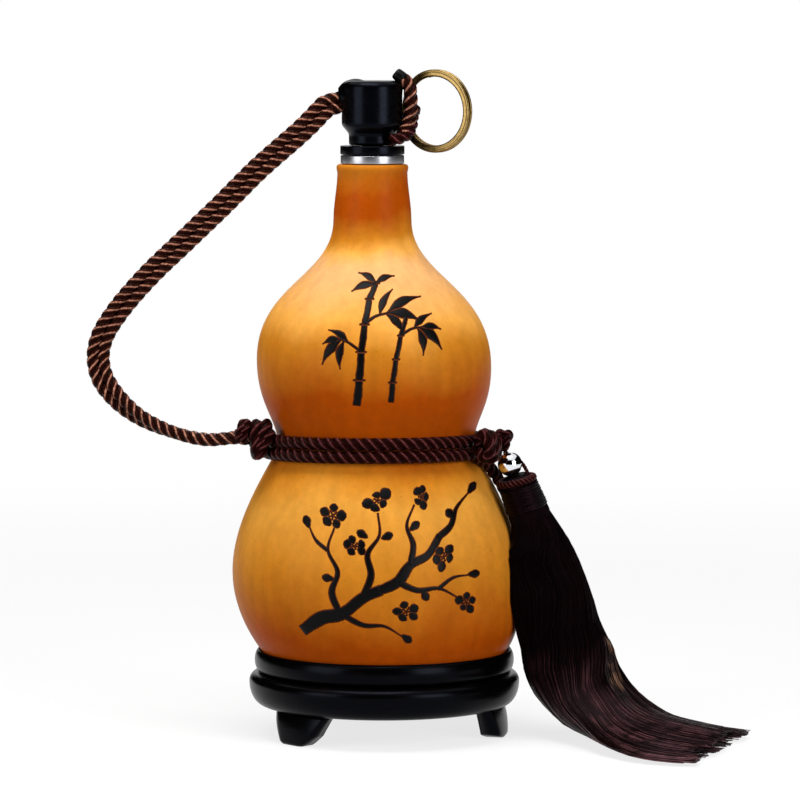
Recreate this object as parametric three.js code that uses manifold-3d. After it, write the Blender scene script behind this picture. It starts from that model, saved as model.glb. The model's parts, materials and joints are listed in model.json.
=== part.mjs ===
// Wine gourd: a dried bottle gourd used as a flask. It has a metal mouth collar, a black turned
// stopper on a twisted lanyard, a cord binding round its waist, a split ring, a bead and tassel,
// and a lacquered wooden stand with three feet.
//
// Millimetres, +Z up. The origin is on the table, below the middle of the belly. The front faces
// -Y and the tassel hangs on the +X side.
import * as THREE from "three";
import { mergeVertices } from "three/addons/utils/BufferGeometryUtils.js";
import Module from "manifold-3d";

// Fits
const CLEARANCE = 0.3; // between pieces that touch
const CORD_CLEARANCE = 0.35; // between a cord and what it lies on

// Gourd: heights over the table and radii of its outline
const GOURD_BOTTOM = 16.4;
const BELLY_HEIGHT = 68.9;
const BELLY_RADIUS = 60.2;
const BELLY_FULLNESS = 2.5; // exponent of the belly's lower half: 2 is an ellipse
const WAIST_HEIGHT = 121.5;
const WAIST_RADIUS = 41;
const HEAD_HEIGHT = 156;
const HEAD_RADIUS = 49;
const NECK_HEIGHT = 216; // where the shoulder has become the neck
const NECK_RADIUS = 16.3;
const MOUTH_HEIGHT = 239.2;
const MOUTH_RADIUS = 15;
const MOUTH_ROUNDING = 1.2;
const GOURD_WALL = 3.4;
const NECK_BORE_RADIUS = 11.3;
// How far the outline runs straight up or down from each of these before it bends away
const BELLY_RISE = 24;
const WAIST_FALL = 4;
const WAIST_RISE = 11;
const HEAD_FALL = 18;
const HEAD_RISE = 33;
const NECK_FALL = 24;
// The gourd grew a little crooked: its middle line drifts this far in X at the foot and the mouth
const FOOT_DRIFT = 3.5;
const MOUTH_DRIFT = -1.4;

// Mouth collar: a turned metal sleeve with a rim on top of the neck
const COLLAR_RIM_RADIUS = 13.25;
const COLLAR_RIM_HEIGHT = 3.4;
const COLLAR_WALL = 1.6;
const COLLAR_DEPTH = 19;

// Stopper
const FLANGE_RADIUS = 13.4;
const FLANGE_HEIGHT = 3.7;
const STOPPER_WAIST_RADIUS = 9.8;
const STOPPER_WAIST_HEIGHT = 4.6;
const KNOB_RADIUS = 12.8;
const KNOB_HEIGHT = 22.1;
const KNOB_CHAMFER = 3.6; // height of the chamfer below the knob
const KNOB_ROUNDING = 3.2;
const EAR_REACH = 15; // from the stopper's axis to the tip of the ear that shades the cross hole
const EAR_RADII = [8, 6.6, 6.9];
const EAR_RISE = 2.5; // of the ear's middle over the middle of the cross hole
const CORD_HOLE_HEIGHT = 13.5; // middle of the cross hole over the underside of the knob
const STUD_RADIUS = 4;
const PLUG_CLEARANCE = 0.45; // between the plug and the collar's bore
const PLUG_LENGTH = 20;
const PLUG_TAPER = 1.2;
const SEAL_THICKNESS = 1.7;
const SEAL_PITCH = 6.5;

// Cords
const CORD_DIAMETER = 5;
const CORD_SIDES = 10;
const BINDING_TURN_HEIGHT = 5.45; // from one turn round the waist to the next
const BINDING_END_DEG = 5; // how far each end runs on behind the middle of its knot
const STRAP_EXIT = [-3.8, -0.3, -1.8]; // middle of the strap's end from the tip of the ear
const THIN_CORD_DIAMETER = 2.2;
const TIP_DIAMETER = 5.4;
const TIP_LENGTH = 5.4;

// Split ring: two flat coils of one wire
const RING_RADIUS = 15.8;
const RING_WIRE_WIDTH = 3.1;
const RING_WIRE_THICKNESS = 1.35;
const RING_COIL_WIDTH = 1.85; // from the middle of one coil to the middle of the other
const RING_CENTRE = [26.4, 0.9, 22]; // from the middle of the mouth
const RING_TURN_DEG = -34; // the ring's plane from the XZ plane, about Z

// Knots
const LEFT_KNOT_ANGLE_DEG = -72; // from the front, round to the gourd's left
const LEFT_KNOT_RADII = [6, 8, 8.6];
const LEFT_KNOT_TUCK = 1.6; // how far its strands reach in between the turns of the binding
const RIGHT_KNOT_ANGLE_DEG = 60;
const RIGHT_KNOT_RADII = [5, 7.6, 8.2];
const RIGHT_KNOT_TUCK = 0.4;
const KNOT_RISE = 1; // over the middle of the waist
const KNOT_SWELL = 0.09; // of the strands, as a share of the knot's radius
const KNOT_SLANT = 2.6; // radians that a strand winds round from the knot's middle to its end
const END_KNOT_ANGLE_DEG = 72.5;
const END_KNOT_REACH = 7.6; // from the outside of the binding to the knot's middle
const END_KNOT_RISE = 4;
const END_KNOT_RADII = [3.6, 4.4, 3.9];

// Tassel, along its own line from the point that it hangs by
const PIVOT_FROM_END_KNOT = [0.5, 0.2, -5];
const TASSEL_LEAN = 0.777; // share of the belly's overhang beyond the waist, at the foot of the head
const TASSEL_BACK = 1.9;
const BEAD_RADIUS = 5.1;
const BEAD_DROP = 5.7;
const HEAD_DROP = 11.7;
const TASSEL_HEAD_LENGTH = 18;
const TASSEL_HEAD_RADIUS = 8.5;
const TASSEL_HEAD_ROUNDING = 2;
const FLUTES = 15;
const FLUTE_DEPTH = 0.045; // as a share of the skirt's radius

// Stand, round its own axis, FOOT_DRIFT to the right of the belly's. How far it reaches is
// measured from the gourd's skin at the top of the stand.
const STAND_RING_TOP = 36.1;
const STAND_RING_HEIGHT = 9.2;
const STAND_RING_REACH = 2.5;
const STAND_GROOVE_REACH = 0.3;
const BASE_REACH = 4.8;
const BASE_SHOULDER = 3.9; // from the base's top down to its widest circle
const BASE_UNDERSIDE = 12.8;
const BASE_UNDERSIDE_INSET = 2.5;
const BASE_BORE_INSET = 9.3;
const SPIGOT_HEIGHT = 2.4; // the ring's lower lip, let into the base
const SPIGOT_WIDTH = 3.2;
const LEG_COUNT = 3;
const FIRST_LEG_DEG = -44;
const LEG_REACH = 0.1;
const LEG_THICKNESS = 9;
const LEG_TOP_HALF_WIDTH = 15.6;
const LEG_SOLE_HALF_WIDTH = 6.4;
const TENON_RADIUS = 3;
const TENON_HEIGHT = 6;

const wasm = await Module();
wasm.setup();

const radians = THREE.MathUtils.degToRad;
const vector = (p) => new THREE.Vector3(...p);

// Materials
const material = (color, roughness, metalness = 0) =>
  new THREE.MeshStandardMaterial({ color, roughness, metalness });
const GOURD_SKIN = material(0xc9822c, 0.34);
const LACQUERED_WOOD = material(0x0d0b0b, 0.28);
const BLACK_GLOSS = material(0x08080a, 0.14);
const POLISHED_STEEL = material(0xc4c6cb, 0.16, 1);
const SILICONE = material(0xd8d4c8, 0.6);
const CORD_FIBRE = material(0x3a1512, 0.7);
const TASSEL_FIBRE = material(0x140b0e, 0.55);
const SEALED_END = material(0x111016, 0.4);
const AGED_BRASS = material(0xa3834b, 0.3, 1);
const CHROME = material(0xe6e8ec, 0.05, 1);

const root = new THREE.Group();

function add(parent, name, geometry, surface) {
  const mesh = new THREE.Mesh(geometry, surface);
  mesh.name = name;
  parent.add(mesh);
  return mesh;
}

// Geometry helpers

// Turned shape about Z from [radius, height] points, walked with the solid on the left.
function turned(profile, segments = 36) {
  const points = profile.map(([r, z]) => new THREE.Vector2(r, z));
  return new THREE.LatheGeometry(points, segments).rotateX(Math.PI / 2);
}

function solid(geometry) {
  const bare = geometry.clone();
  bare.deleteAttribute("normal");
  bare.deleteAttribute("uv");
  const merged = mergeVertices(bare, 1e-4);
  return new wasm.Manifold(
    new wasm.Mesh({
      numProp: 3,
      vertProperties: new Float32Array(merged.attributes.position.array),
      triVerts: new Uint32Array(merged.index.array),
    }),
  );
}

function geometryOf(manifold) {
  const mesh = manifold.getMesh();
  const geometry = new THREE.BufferGeometry();
  geometry.setAttribute("position", new THREE.BufferAttribute(mesh.vertProperties, 3));
  geometry.setIndex(new THREE.BufferAttribute(mesh.triVerts, 1));
  geometry.computeVertexNormals();
  return geometry;
}

// A skin over rings of points with as many points each, closed by a fan at both ends.
function loft(rings) {
  const count = rings[0].length;
  const middles = [rings[0], rings.at(-1)].map((ring) =>
    ring.reduce((sum, p) => sum.add(p), new THREE.Vector3()).divideScalar(count),
  );
  const vertices = [...rings.flat(), ...middles];
  const first = rings.length * count;
  const faces = [];
  for (let i = 0; i < count; i++) {
    const j = (i + 1) % count;
    faces.push(first, j, i);
    faces.push(first + 1, first - count + i, first - count + j);
    for (let k = 0; k < rings.length - 1; k++) {
      const low = k * count;
      const high = low + count;
      faces.push(low + i, low + j, high + j);
      faces.push(low + i, high + j, high + i);
    }
  }
  const geometry = new THREE.BufferGeometry().setFromPoints(vertices);
  geometry.setIndex(faces);
  geometry.computeVertexNormals();
  return geometry;
}

function cord(points, diameter, steps, sides = CORD_SIDES) {
  const section = new THREE.Shape();
  for (let i = 0; i < sides; i++) {
    const angle = (i / sides) * 2 * Math.PI;
    const x = (diameter / 2) * Math.cos(angle);
    const y = (diameter / 2) * Math.sin(angle);
    if (i) section.lineTo(x, y);
    else section.moveTo(x, y);
  }
  const path = new THREE.CatmullRomCurve3(points.map((p) => (p.isVector3 ? p : vector(p))));
  return new THREE.ExtrudeGeometry(section, { steps, bevelEnabled: false, extrudePath: path });
}

const smoothstep = THREE.MathUtils.smoothstep;

// Outline of the gourd

function outline({ bottom, belly, waist, head, neck }, steps) {
  const depth = BELLY_HEIGHT - bottom;
  const points = [[0, bottom]];
  for (let i = 1; i < steps; i++) {
    const angle = (i / steps) * (Math.PI / 2);
    const across = Math.sin(angle) ** (2 / BELLY_FULLNESS);
    const down = Math.cos(angle) ** (2 / BELLY_FULLNESS);
    points.push([belly * across, BELLY_HEIGHT - depth * down]);
  }
  const bend = (r0, z0, rise, r1, z1, fall) =>
    new THREE.CubicBezierCurve(
      new THREE.Vector2(r0, z0),
      new THREE.Vector2(r0, z0 + rise),
      new THREE.Vector2(r1, z1 - fall),
      new THREE.Vector2(r1, z1),
    )
      .getPoints(steps)
      .slice(0, -1)
      .map((p) => [p.x, p.y]);
  points.push(...bend(belly, BELLY_HEIGHT, BELLY_RISE, waist, WAIST_HEIGHT, WAIST_FALL));
  points.push(...bend(waist, WAIST_HEIGHT, WAIST_RISE, head, HEAD_HEIGHT, HEAD_FALL));
  points.push(...bend(head, HEAD_HEIGHT, HEAD_RISE, neck, NECK_HEIGHT, NECK_FALL));
  return points;
}

const outside = outline(
  {
    bottom: GOURD_BOTTOM,
    belly: BELLY_RADIUS,
    waist: WAIST_RADIUS,
    head: HEAD_RADIUS,
    neck: NECK_RADIUS,
  },
  8,
);
outside.push(
  [NECK_RADIUS, NECK_HEIGHT],
  [MOUTH_RADIUS - 0.4, MOUTH_HEIGHT - 3 * MOUTH_ROUNDING],
  [MOUTH_RADIUS, MOUTH_HEIGHT - MOUTH_ROUNDING],
  [MOUTH_RADIUS - MOUTH_ROUNDING, MOUTH_HEIGHT],
);

function gourdRadius(height) {
  for (let i = 1; i < outside.length; i++) {
    const [r0, z0] = outside[i - 1];
    const [r1, z1] = outside[i];
    if (height >= z0 && height <= z1) return r0 + ((r1 - r0) * (height - z0)) / (z1 - z0);
  }
  return 0;
}

// The drift is complete where the stand carries the gourd, and half way up the shoulder.
const footRest = STAND_RING_TOP - 3;
const shoulder = (HEAD_HEIGHT + NECK_HEIGHT) / 2;
const drift = (height) =>
  FOOT_DRIFT * (1 - smoothstep(height, footRest, BELLY_HEIGHT)) +
  MOUTH_DRIFT * smoothstep(height, WAIST_HEIGHT, shoulder);

// Point beside the gourd: angle in degrees from the front, positive to its right (+X).
function besideGourd(angleDeg, radius, height) {
  const a = radians(angleDeg);
  return new THREE.Vector3(drift(height) + radius * Math.sin(a), -radius * Math.cos(a), height);
}

function makeGourd() {
  const inside = outline(
    {
      bottom: GOURD_BOTTOM + GOURD_WALL,
      belly: BELLY_RADIUS - GOURD_WALL,
      waist: WAIST_RADIUS - GOURD_WALL,
      head: HEAD_RADIUS - GOURD_WALL,
      neck: NECK_BORE_RADIUS,
    },
    5,
  );
  inside.push([NECK_BORE_RADIUS, NECK_HEIGHT], [NECK_BORE_RADIUS, MOUTH_HEIGHT]);
  const shell = turned([...outside, ...inside.reverse()], 40);
  const position = shell.attributes.position;
  for (let i = 0; i < position.count; i++)
    position.setX(i, position.getX(i) + drift(position.getZ(i)));
  shell.computeVertexNormals();
  add(root, "gourd_shell", shell, GOURD_SKIN);
}

// Mouth and stopper, in a group on the mouth's axis with its zero at the top of the neck

const COLLAR_BORE_RADIUS = NECK_BORE_RADIUS - CLEARANCE - COLLAR_WALL;
const mouth = new THREE.Group();
mouth.position.set(MOUTH_DRIFT, 0, MOUTH_HEIGHT);
root.add(mouth);

const RIM_TOP = CLEARANCE + COLLAR_RIM_HEIGHT;
const FLANGE_BOTTOM = RIM_TOP + CLEARANCE;
const FLANGE_TOP = FLANGE_BOTTOM + FLANGE_HEIGHT;
const STOPPER_WAIST_BOTTOM = FLANGE_TOP + CLEARANCE;
const KNOB_BOTTOM = STOPPER_WAIST_BOTTOM + STOPPER_WAIST_HEIGHT;
const KNOB_TOP = KNOB_BOTTOM + KNOB_HEIGHT;
const CORD_HOLE = KNOB_BOTTOM + CORD_HOLE_HEIGHT;
const PLUG_RADIUS = COLLAR_BORE_RADIUS - PLUG_CLEARANCE;

function makeCollar() {
  const sleeve = NECK_BORE_RADIUS - CLEARANCE;
  const bevel = 0.5;
  const profile = [
    [COLLAR_BORE_RADIUS, -COLLAR_DEPTH],
    [sleeve, -COLLAR_DEPTH],
    [sleeve, CLEARANCE],
    [COLLAR_RIM_RADIUS, CLEARANCE],
    [COLLAR_RIM_RADIUS, RIM_TOP - bevel],
    [COLLAR_RIM_RADIUS - bevel, RIM_TOP],
    [COLLAR_BORE_RADIUS, RIM_TOP],
    [COLLAR_BORE_RADIUS, -COLLAR_DEPTH],
  ];
  add(mouth, "mouth_collar", turned(profile), POLISHED_STEEL);
}

// A quarter circle of profile points about a centre, from one angle to another in degrees.
function arc(r, z, radius, fromDeg, toDeg, steps) {
  const points = [];
  for (let i = 0; i <= steps; i++) {
    const a = radians(fromDeg + ((toDeg - fromDeg) * i) / steps);
    points.push([r + radius * Math.cos(a), z + radius * Math.sin(a)]);
  }
  return points;
}

function makeKnob() {
  const socket = STUD_RADIUS + CLEARANCE;
  const studEnd = KNOB_BOTTOM + CLEARANCE;
  const body = turned([
    [0, studEnd],
    [socket, studEnd],
    [socket, STOPPER_WAIST_BOTTOM],
    [STOPPER_WAIST_RADIUS, STOPPER_WAIST_BOTTOM],
    [STOPPER_WAIST_RADIUS, KNOB_BOTTOM],
    [KNOB_RADIUS, KNOB_BOTTOM + KNOB_CHAMFER],
    ...arc(KNOB_RADIUS - KNOB_ROUNDING, KNOB_TOP - KNOB_ROUNDING, KNOB_ROUNDING, 0, 90, 4),
    [0, KNOB_TOP],
  ]);
  const ear = new THREE.SphereGeometry(1, 20, 12)
    .scale(...EAR_RADII)
    .translate(EAR_RADII[0] - EAR_REACH, 0, CORD_HOLE + EAR_RISE);
  // Two cords pass one above the other, so the cross hole is a slot with round ends.
  const slot = new THREE.Shape();
  const half = CORD_DIAMETER / 2 + CORD_CLEARANCE;
  slot.absarc(0, CORD_DIAMETER / 2, half, 0, Math.PI);
  slot.absarc(0, -CORD_DIAMETER / 2, half, Math.PI, 2 * Math.PI);
  slot.closePath();
  const reach = EAR_REACH + 1;
  const hole = new THREE.ExtrudeGeometry(slot, {
    depth: 2 * reach,
    bevelEnabled: false,
    curveSegments: 5,
  })
    .translate(0, 0, -reach)
    .rotateX(Math.PI / 2)
    .rotateZ(Math.PI / 2)
    .translate(0, 0, CORD_HOLE);
  const knob = solid(body).add(solid(ear)).subtract(solid(hole));
  add(mouth, "stopper_knob", geometryOf(knob), BLACK_GLOSS);
}

function makeFlange() {
  const eye = STUD_RADIUS + CLEARANCE;
  const bevel = 0.4;
  const profile = [
    [eye, FLANGE_BOTTOM],
    [FLANGE_RADIUS, FLANGE_BOTTOM],
    [FLANGE_RADIUS, FLANGE_TOP - bevel],
    [FLANGE_RADIUS - bevel, FLANGE_TOP],
    [eye, FLANGE_TOP],
    [eye, FLANGE_BOTTOM],
  ];
  add(mouth, "stopper_flange", turned(profile), BLACK_GLOSS);
}

const PLUG_TOP = FLANGE_BOTTOM - CLEARANCE;
const PLUG_END = PLUG_TOP - PLUG_LENGTH;
const SEAL_HEIGHTS = [PLUG_END + SEAL_PITCH, PLUG_END + 2 * SEAL_PITCH];
const SEAL_BED_RADIUS = PLUG_RADIUS - SEAL_THICKNESS;

function makePlug() {
  const half = SEAL_THICKNESS / 2 + CLEARANCE;
  const grooves = SEAL_HEIGHTS.flatMap((z) => [
    [PLUG_RADIUS, z - half],
    [SEAL_BED_RADIUS, z - half],
    [SEAL_BED_RADIUS, z + half],
    [PLUG_RADIUS, z + half],
  ]);
  const profile = [
    [0, PLUG_END],
    [PLUG_RADIUS - PLUG_TAPER, PLUG_END],
    [PLUG_RADIUS, PLUG_END + PLUG_TAPER],
    ...grooves,
    [PLUG_RADIUS, PLUG_TOP],
    [STUD_RADIUS, PLUG_TOP],
    [STUD_RADIUS, KNOB_BOTTOM],
    [0, KNOB_BOTTOM],
  ];
  add(mouth, "stopper_plug", turned(profile, 24), BLACK_GLOSS);
  const inner = SEAL_BED_RADIUS + CLEARANCE;
  const outer = COLLAR_BORE_RADIUS - CLEARANCE;
  const rounding = 0.5;
  SEAL_HEIGHTS.forEach((z, i) => {
    const low = z - SEAL_THICKNESS / 2;
    const high = z + SEAL_THICKNESS / 2;
    const seal = [
      [inner, low],
      [outer - rounding, low],
      [outer, low + rounding],
      [outer, high - rounding],
      [outer - rounding, high],
      [inner, high],
      [inner, low],
    ];
    add(mouth, "plug_seal_" + (i + 1), turned(seal, 24), SILICONE);
  });
}

// Cords on the stopper. One comes round the back of the stopper's waist, passes behind the split
// ring's wire and through the ring, and comes down in front to the waist again, so it holds the
// ring. The other leaves the cross hole, turns up and ends in a sealed tip.

function makeStopperCords() {
  const round = STOPPER_WAIST_RADIUS + CORD_DIAMETER / 2 + CORD_CLEARANCE;
  const low = FLANGE_TOP + CORD_DIAMETER / 2 + CORD_CLEARANCE;
  const atWaist = (angleDeg) => {
    const a = radians(angleDeg);
    return [round * Math.cos(a), round * Math.sin(a), low];
  };
  const hitch = [
    atWaist(130),
    atWaist(112),
    atWaist(92),
    [5.6, 14, low + 2.2],
    [10, 15.5, low + 7.2],
    [13.7, 15.4, low + 10.8],
    [17, 12.9, low + 11.8],
    [17.7, 8.4, low + 11.6],
    [17.2, 4.8, low + 10.4],
    [16.7, 1.4, low + 7.8],
    [16.2, -1.8, low + 4.6],
    [14.4, -5, low + 1.8],
    [11.6, -7.4, low + 0.4],
  ];
  add(mouth, "ring_hitch_cord", cord(hitch, CORD_DIAMETER, 26, 8), CORD_FIBRE);
  const exit = KNOB_RADIUS + 3 * CLEARANCE;
  const tail = [
    [exit, -0.6, CORD_HOLE - 0.9],
    [exit + 1.9, -0.9, CORD_HOLE - 0.4],
    [exit + 2.8, -1.3, CORD_HOLE + 1.7],
    [exit + 2.9, -1.5, CORD_HOLE + 4.6],
    [exit + 2.2, -1.5, CORD_HOLE + 7.6],
    [exit + 0.5, -1.5, CORD_HOLE + 10.2],
  ];
  add(mouth, "cord_tail", cord(tail, CORD_DIAMETER, 9, 8), CORD_FIBRE);
  const [end, before] = [vector(tail.at(-1)), vector(tail.at(-2))];
  const outward = end.clone().sub(before).normalize();
  const tip = turned(
    [
      [0, 0],
      [TIP_DIAMETER / 2, 0],
      [TIP_DIAMETER / 2, TIP_LENGTH - 1],
      [TIP_DIAMETER / 2 - 1, TIP_LENGTH],
      [0, TIP_LENGTH],
    ],
    14,
  );
  const mesh = add(mouth, "cord_tip", tip, SEALED_END);
  mesh.position.copy(end).addScaledVector(outward, CLEARANCE);
  mesh.quaternion.setFromUnitVectors(new THREE.Vector3(0, 0, 1), outward);
}

// Split ring: one wire, two coils side by side, with the step from one to the other in a short
// stretch of the turn.
function makeSplitRing() {
  const turns = 1.79;
  const stepsPerTurn = 24;
  const steps = Math.round(turns * stepsPerTurn);
  const stepStart = 0.8;
  const stepEnd = 0.99;
  const rings = [];
  const lines = [];
  for (let i = 0; i <= steps; i++) {
    const turn = i / stepsPerTurn;
    const a = turn * 2 * Math.PI;
    const across = RING_COIL_WIDTH * (smoothstep(turn, stepStart, stepEnd) - 0.5);
    lines.push(new THREE.Vector3(RING_RADIUS * Math.cos(a), across, RING_RADIUS * Math.sin(a)));
    const ring = [];
    for (let k = 0; k < 6; k++) {
      const b = radians(60 * k);
      const reach = RING_RADIUS + (RING_WIRE_WIDTH / 2) * Math.cos(b);
      const aside = across + ((RING_WIRE_THICKNESS / 2) * Math.sin(b)) / Math.sin(radians(60));
      ring.push(new THREE.Vector3(reach * Math.cos(a), aside, reach * Math.sin(a)));
    }
    rings.push(ring);
  }
  const gap = leastGap(lines, stepsPerTurn, RING_WIRE_THICKNESS);
  console.log("split ring: least gap between its coils", gap.toFixed(2), "mm");
  const mesh = add(mouth, "split_ring", loft(rings), AGED_BRASS);
  mesh.position.set(...RING_CENTRE);
  mesh.rotation.set(0, 0, radians(RING_TURN_DEG));
}

// Least distance between the middle lines of neighbouring turns, less the tube's thickness.
function leastGap(line, stepsPerTurn, thickness) {
  let least = Infinity;
  for (let i = 0; i < line.length; i++)
    for (let j = i + Math.round(stepsPerTurn / 2); j < line.length; j++)
      least = Math.min(least, line[i].distanceTo(line[j]));
  return least - thickness;
}

// Distance of a cord's middle from the gourd's middle line where the cord lies round the gourd.
function cordSeat(height) {
  const bearing = 0.3 * CORD_DIAMETER; // the skin counts this far above and below the middle
  const skin = Math.max(gourdRadius(height - bearing), gourdRadius(height + bearing));
  return skin + CORD_CLEARANCE + CORD_DIAMETER / 2;
}

// Waist binding: one cord from behind the left knot across the front, round the back and across
// the front again to behind the right knot. It drops from the upper turn to the lower at the back.
function makeBinding() {
  const stepsPerTurn = 24;
  const start = LEFT_KNOT_ANGLE_DEG - BINDING_END_DEG;
  const end = RIGHT_KNOT_ANGLE_DEG + BINDING_END_DEG;
  const steps = Math.round((1 + (end - start) / 360) * stepsPerTurn);
  const dropFrom = (end + BINDING_END_DEG - start) / 360;
  const dropTo = 0.96;
  const line = [];
  for (let i = 0; i <= steps; i++) {
    const turn = i / stepsPerTurn;
    const drop = smoothstep(turn, dropFrom, dropTo);
    const height = WAIST_HEIGHT + BINDING_TURN_HEIGHT * (0.5 - drop);
    line.push(besideGourd(start + 360 * turn, cordSeat(height), height));
  }
  const straight = (a, b) => a.clone().addScaledVector(a.clone().sub(b).normalize(), CORD_DIAMETER);
  const points = [straight(line[0], line[1]), ...line, straight(line.at(-1), line.at(-2))];
  const gap = leastGap(line, stepsPerTurn, CORD_DIAMETER);
  console.log("waist binding: least gap between its turns", gap.toFixed(2), "mm");
  add(root, "waist_binding", cord(points, CORD_DIAMETER, steps + 2, 6), CORD_FIBRE);
}

// Knots: rounded lumps with the strands' swells slanting round them.
function lump(radii, strands) {
  const geometry = new THREE.SphereGeometry(1, 18, 11).rotateX(Math.PI / 2);
  const position = geometry.attributes.position;
  const p = new THREE.Vector3();
  for (let i = 0; i < position.count; i++) {
    p.fromBufferAttribute(position, i);
    const fade = 1 - p.z * p.z;
    const around = Math.atan2(p.y, p.x);
    const swell = 1 + KNOT_SWELL * fade * Math.cos(strands * around + KNOT_SLANT * p.z);
    position.setXYZ(i, p.x * swell * radii[0], p.y * swell * radii[1], p.z * radii[2]);
  }
  geometry.computeVertexNormals();
  return geometry;
}

const turnSeats = [0.5, -0.5].map((turn) => cordSeat(WAIST_HEIGHT + turn * BINDING_TURN_HEIGHT));
const bindingOutside = Math.max(...turnSeats) + CORD_DIAMETER / 2;
const endKnot = besideGourd(
  END_KNOT_ANGLE_DEG,
  bindingOutside + END_KNOT_REACH,
  WAIST_HEIGHT + END_KNOT_RISE,
);

function knotMiddle(angleDeg, radii, tuck) {
  const away = bindingOutside + CLEARANCE + radii[0] * (1 + KNOT_SWELL) - tuck;
  return besideGourd(angleDeg, away, WAIST_HEIGHT + KNOT_RISE);
}
const leftKnot = knotMiddle(LEFT_KNOT_ANGLE_DEG, LEFT_KNOT_RADII, LEFT_KNOT_TUCK);
const rightKnot = knotMiddle(RIGHT_KNOT_ANGLE_DEG, RIGHT_KNOT_RADII, RIGHT_KNOT_TUCK);

function makeKnots() {
  const knots = [
    ["knot_left", leftKnot, LEFT_KNOT_ANGLE_DEG, LEFT_KNOT_RADII],
    ["knot_right", rightKnot, RIGHT_KNOT_ANGLE_DEG, RIGHT_KNOT_RADII],
  ];
  for (const [name, middle, angleDeg, radii] of knots) {
    const mesh = add(root, name, lump(radii, 3), CORD_FIBRE);
    mesh.position.copy(middle);
    mesh.rotation.z = radians(angleDeg - 90);
  }
  const knot = add(root, "end_knot", lump(END_KNOT_RADII, 2), CORD_FIBRE);
  knot.position.copy(endKnot);
}

// Strap: two cords side by side from the ear of the stopper round to the left knot. Near the
// stopper they lie one above the other, and near the knot one is behind the other.
const STRAP_ROUTE = [
  [-22.6, -0.6, 261.4],
  [-26.6, -1, 257.2],
  [-31.6, -1.4, 252.4],
  [-48.5, -1.4, 237.6],
  [-63.8, -1.2, 222.4],
  [-79.6, -1, 207.3],
  [-95.3, -0.8, 192.2],
  [-108, -0.8, 177.4],
  [-114.3, -0.8, 167],
  [-116, -1, 158.6],
  [-114.3, -1.6, 150.2],
  [-108.4, -2.8, 141.8],
  [-98.5, -5, 133.8],
  [-83.2, -9.4, 127.6],
  [-70, -13.4, 125.2],
];

function makeStraps() {
  const spread = CORD_DIAMETER / 2 + CLEARANCE / 2;
  const [dx, dy, dz] = STRAP_EXIT;
  const start = [MOUTH_DRIFT - EAR_REACH + dx, dy, MOUTH_HEIGHT + CORD_HOLE + dz];
  const knotDepth = LEFT_KNOT_RADII[0] * (1 + 2 * KNOT_SWELL) + CLEARANCE;
  const end = [leftKnot.x - knotDepth, leftKnot.y + 1, leftKnot.z + 1];
  const middle = [start, ...STRAP_ROUTE, end].map(vector);
  const turnFrom = 0.64;
  const turnTo = 0.92;
  const lay = middle.map((p, i) => {
    const along = middle[Math.min(i + 1, middle.length - 1)].clone().sub(middle[Math.max(i - 1, 0)]);
    const aside = new THREE.Vector3(0, 1, 0).cross(along).normalize();
    const turn = smoothstep(i / (middle.length - 1), turnFrom, turnTo) * (Math.PI / 2);
    return aside.applyAxisAngle(along.normalize(), turn);
  });
  const names = { strap_cord_outer: spread, strap_cord_inner: -spread };
  for (const [name, offset] of Object.entries(names)) {
    const points = middle.map((p, i) => p.clone().addScaledVector(lay[i], offset));
    add(root, name, cord(points, CORD_DIAMETER, 48, 8), CORD_FIBRE);
  }
}

// Tassel, in a group at the point that it hangs by, with its line along the group's -Z
const tassel = new THREE.Group();
const pivot = endKnot.clone().add(vector(PIVOT_FROM_END_KNOT));
tassel.position.copy(pivot);
const headFoot = HEAD_DROP + TASSEL_HEAD_LENGTH;
const overhang = gourdRadius(pivot.z - headFoot) - WAIST_RADIUS;
const tasselLine = vector([TASSEL_LEAN * overhang, TASSEL_BACK, -headFoot]).normalize();
tassel.quaternion.setFromUnitVectors(new THREE.Vector3(0, 0, -1), tasselLine);
root.add(tassel);

function makeTasselHead() {
  const bore = THIN_CORD_DIAMETER / 2 + CLEARANCE;
  const bead = arc(0, -BEAD_DROP, BEAD_RADIUS, -75, 75, 9).map(([r, z]) => [Math.max(r, bore), z]);
  const top = Math.sqrt(BEAD_RADIUS ** 2 - bore ** 2);
  bead[0] = [bore, -BEAD_DROP - top];
  bead[bead.length - 1] = [bore, -BEAD_DROP + top];
  add(tassel, "tassel_bead", turned([...bead, bead[0]], 20), CHROME);
  const thread = [
    [0, 0, -0.2],
    [0, 0, -BEAD_DROP],
    [0, 0, -HEAD_DROP + CLEARANCE],
  ];
  add(tassel, "tassel_cord", cord(thread, THIN_CORD_DIAMETER, 4, 8), TASSEL_FIBRE);
  const low = -headFoot;
  const rim = TASSEL_HEAD_ROUNDING;
  const head = [
    [0, low],
    [TASSEL_HEAD_RADIUS, low],
    [TASSEL_HEAD_RADIUS * 0.94, low + TASSEL_HEAD_LENGTH / 2],
    [TASSEL_HEAD_RADIUS * 0.92, -HEAD_DROP - 2 * rim],
    ...arc(TASSEL_HEAD_RADIUS - rim, -HEAD_DROP - rim, rim, -30, 90, 5),
    [0, -HEAD_DROP],
  ];
  add(tassel, "tassel_head", turned(head, 24), TASSEL_FIBRE);
}

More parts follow.
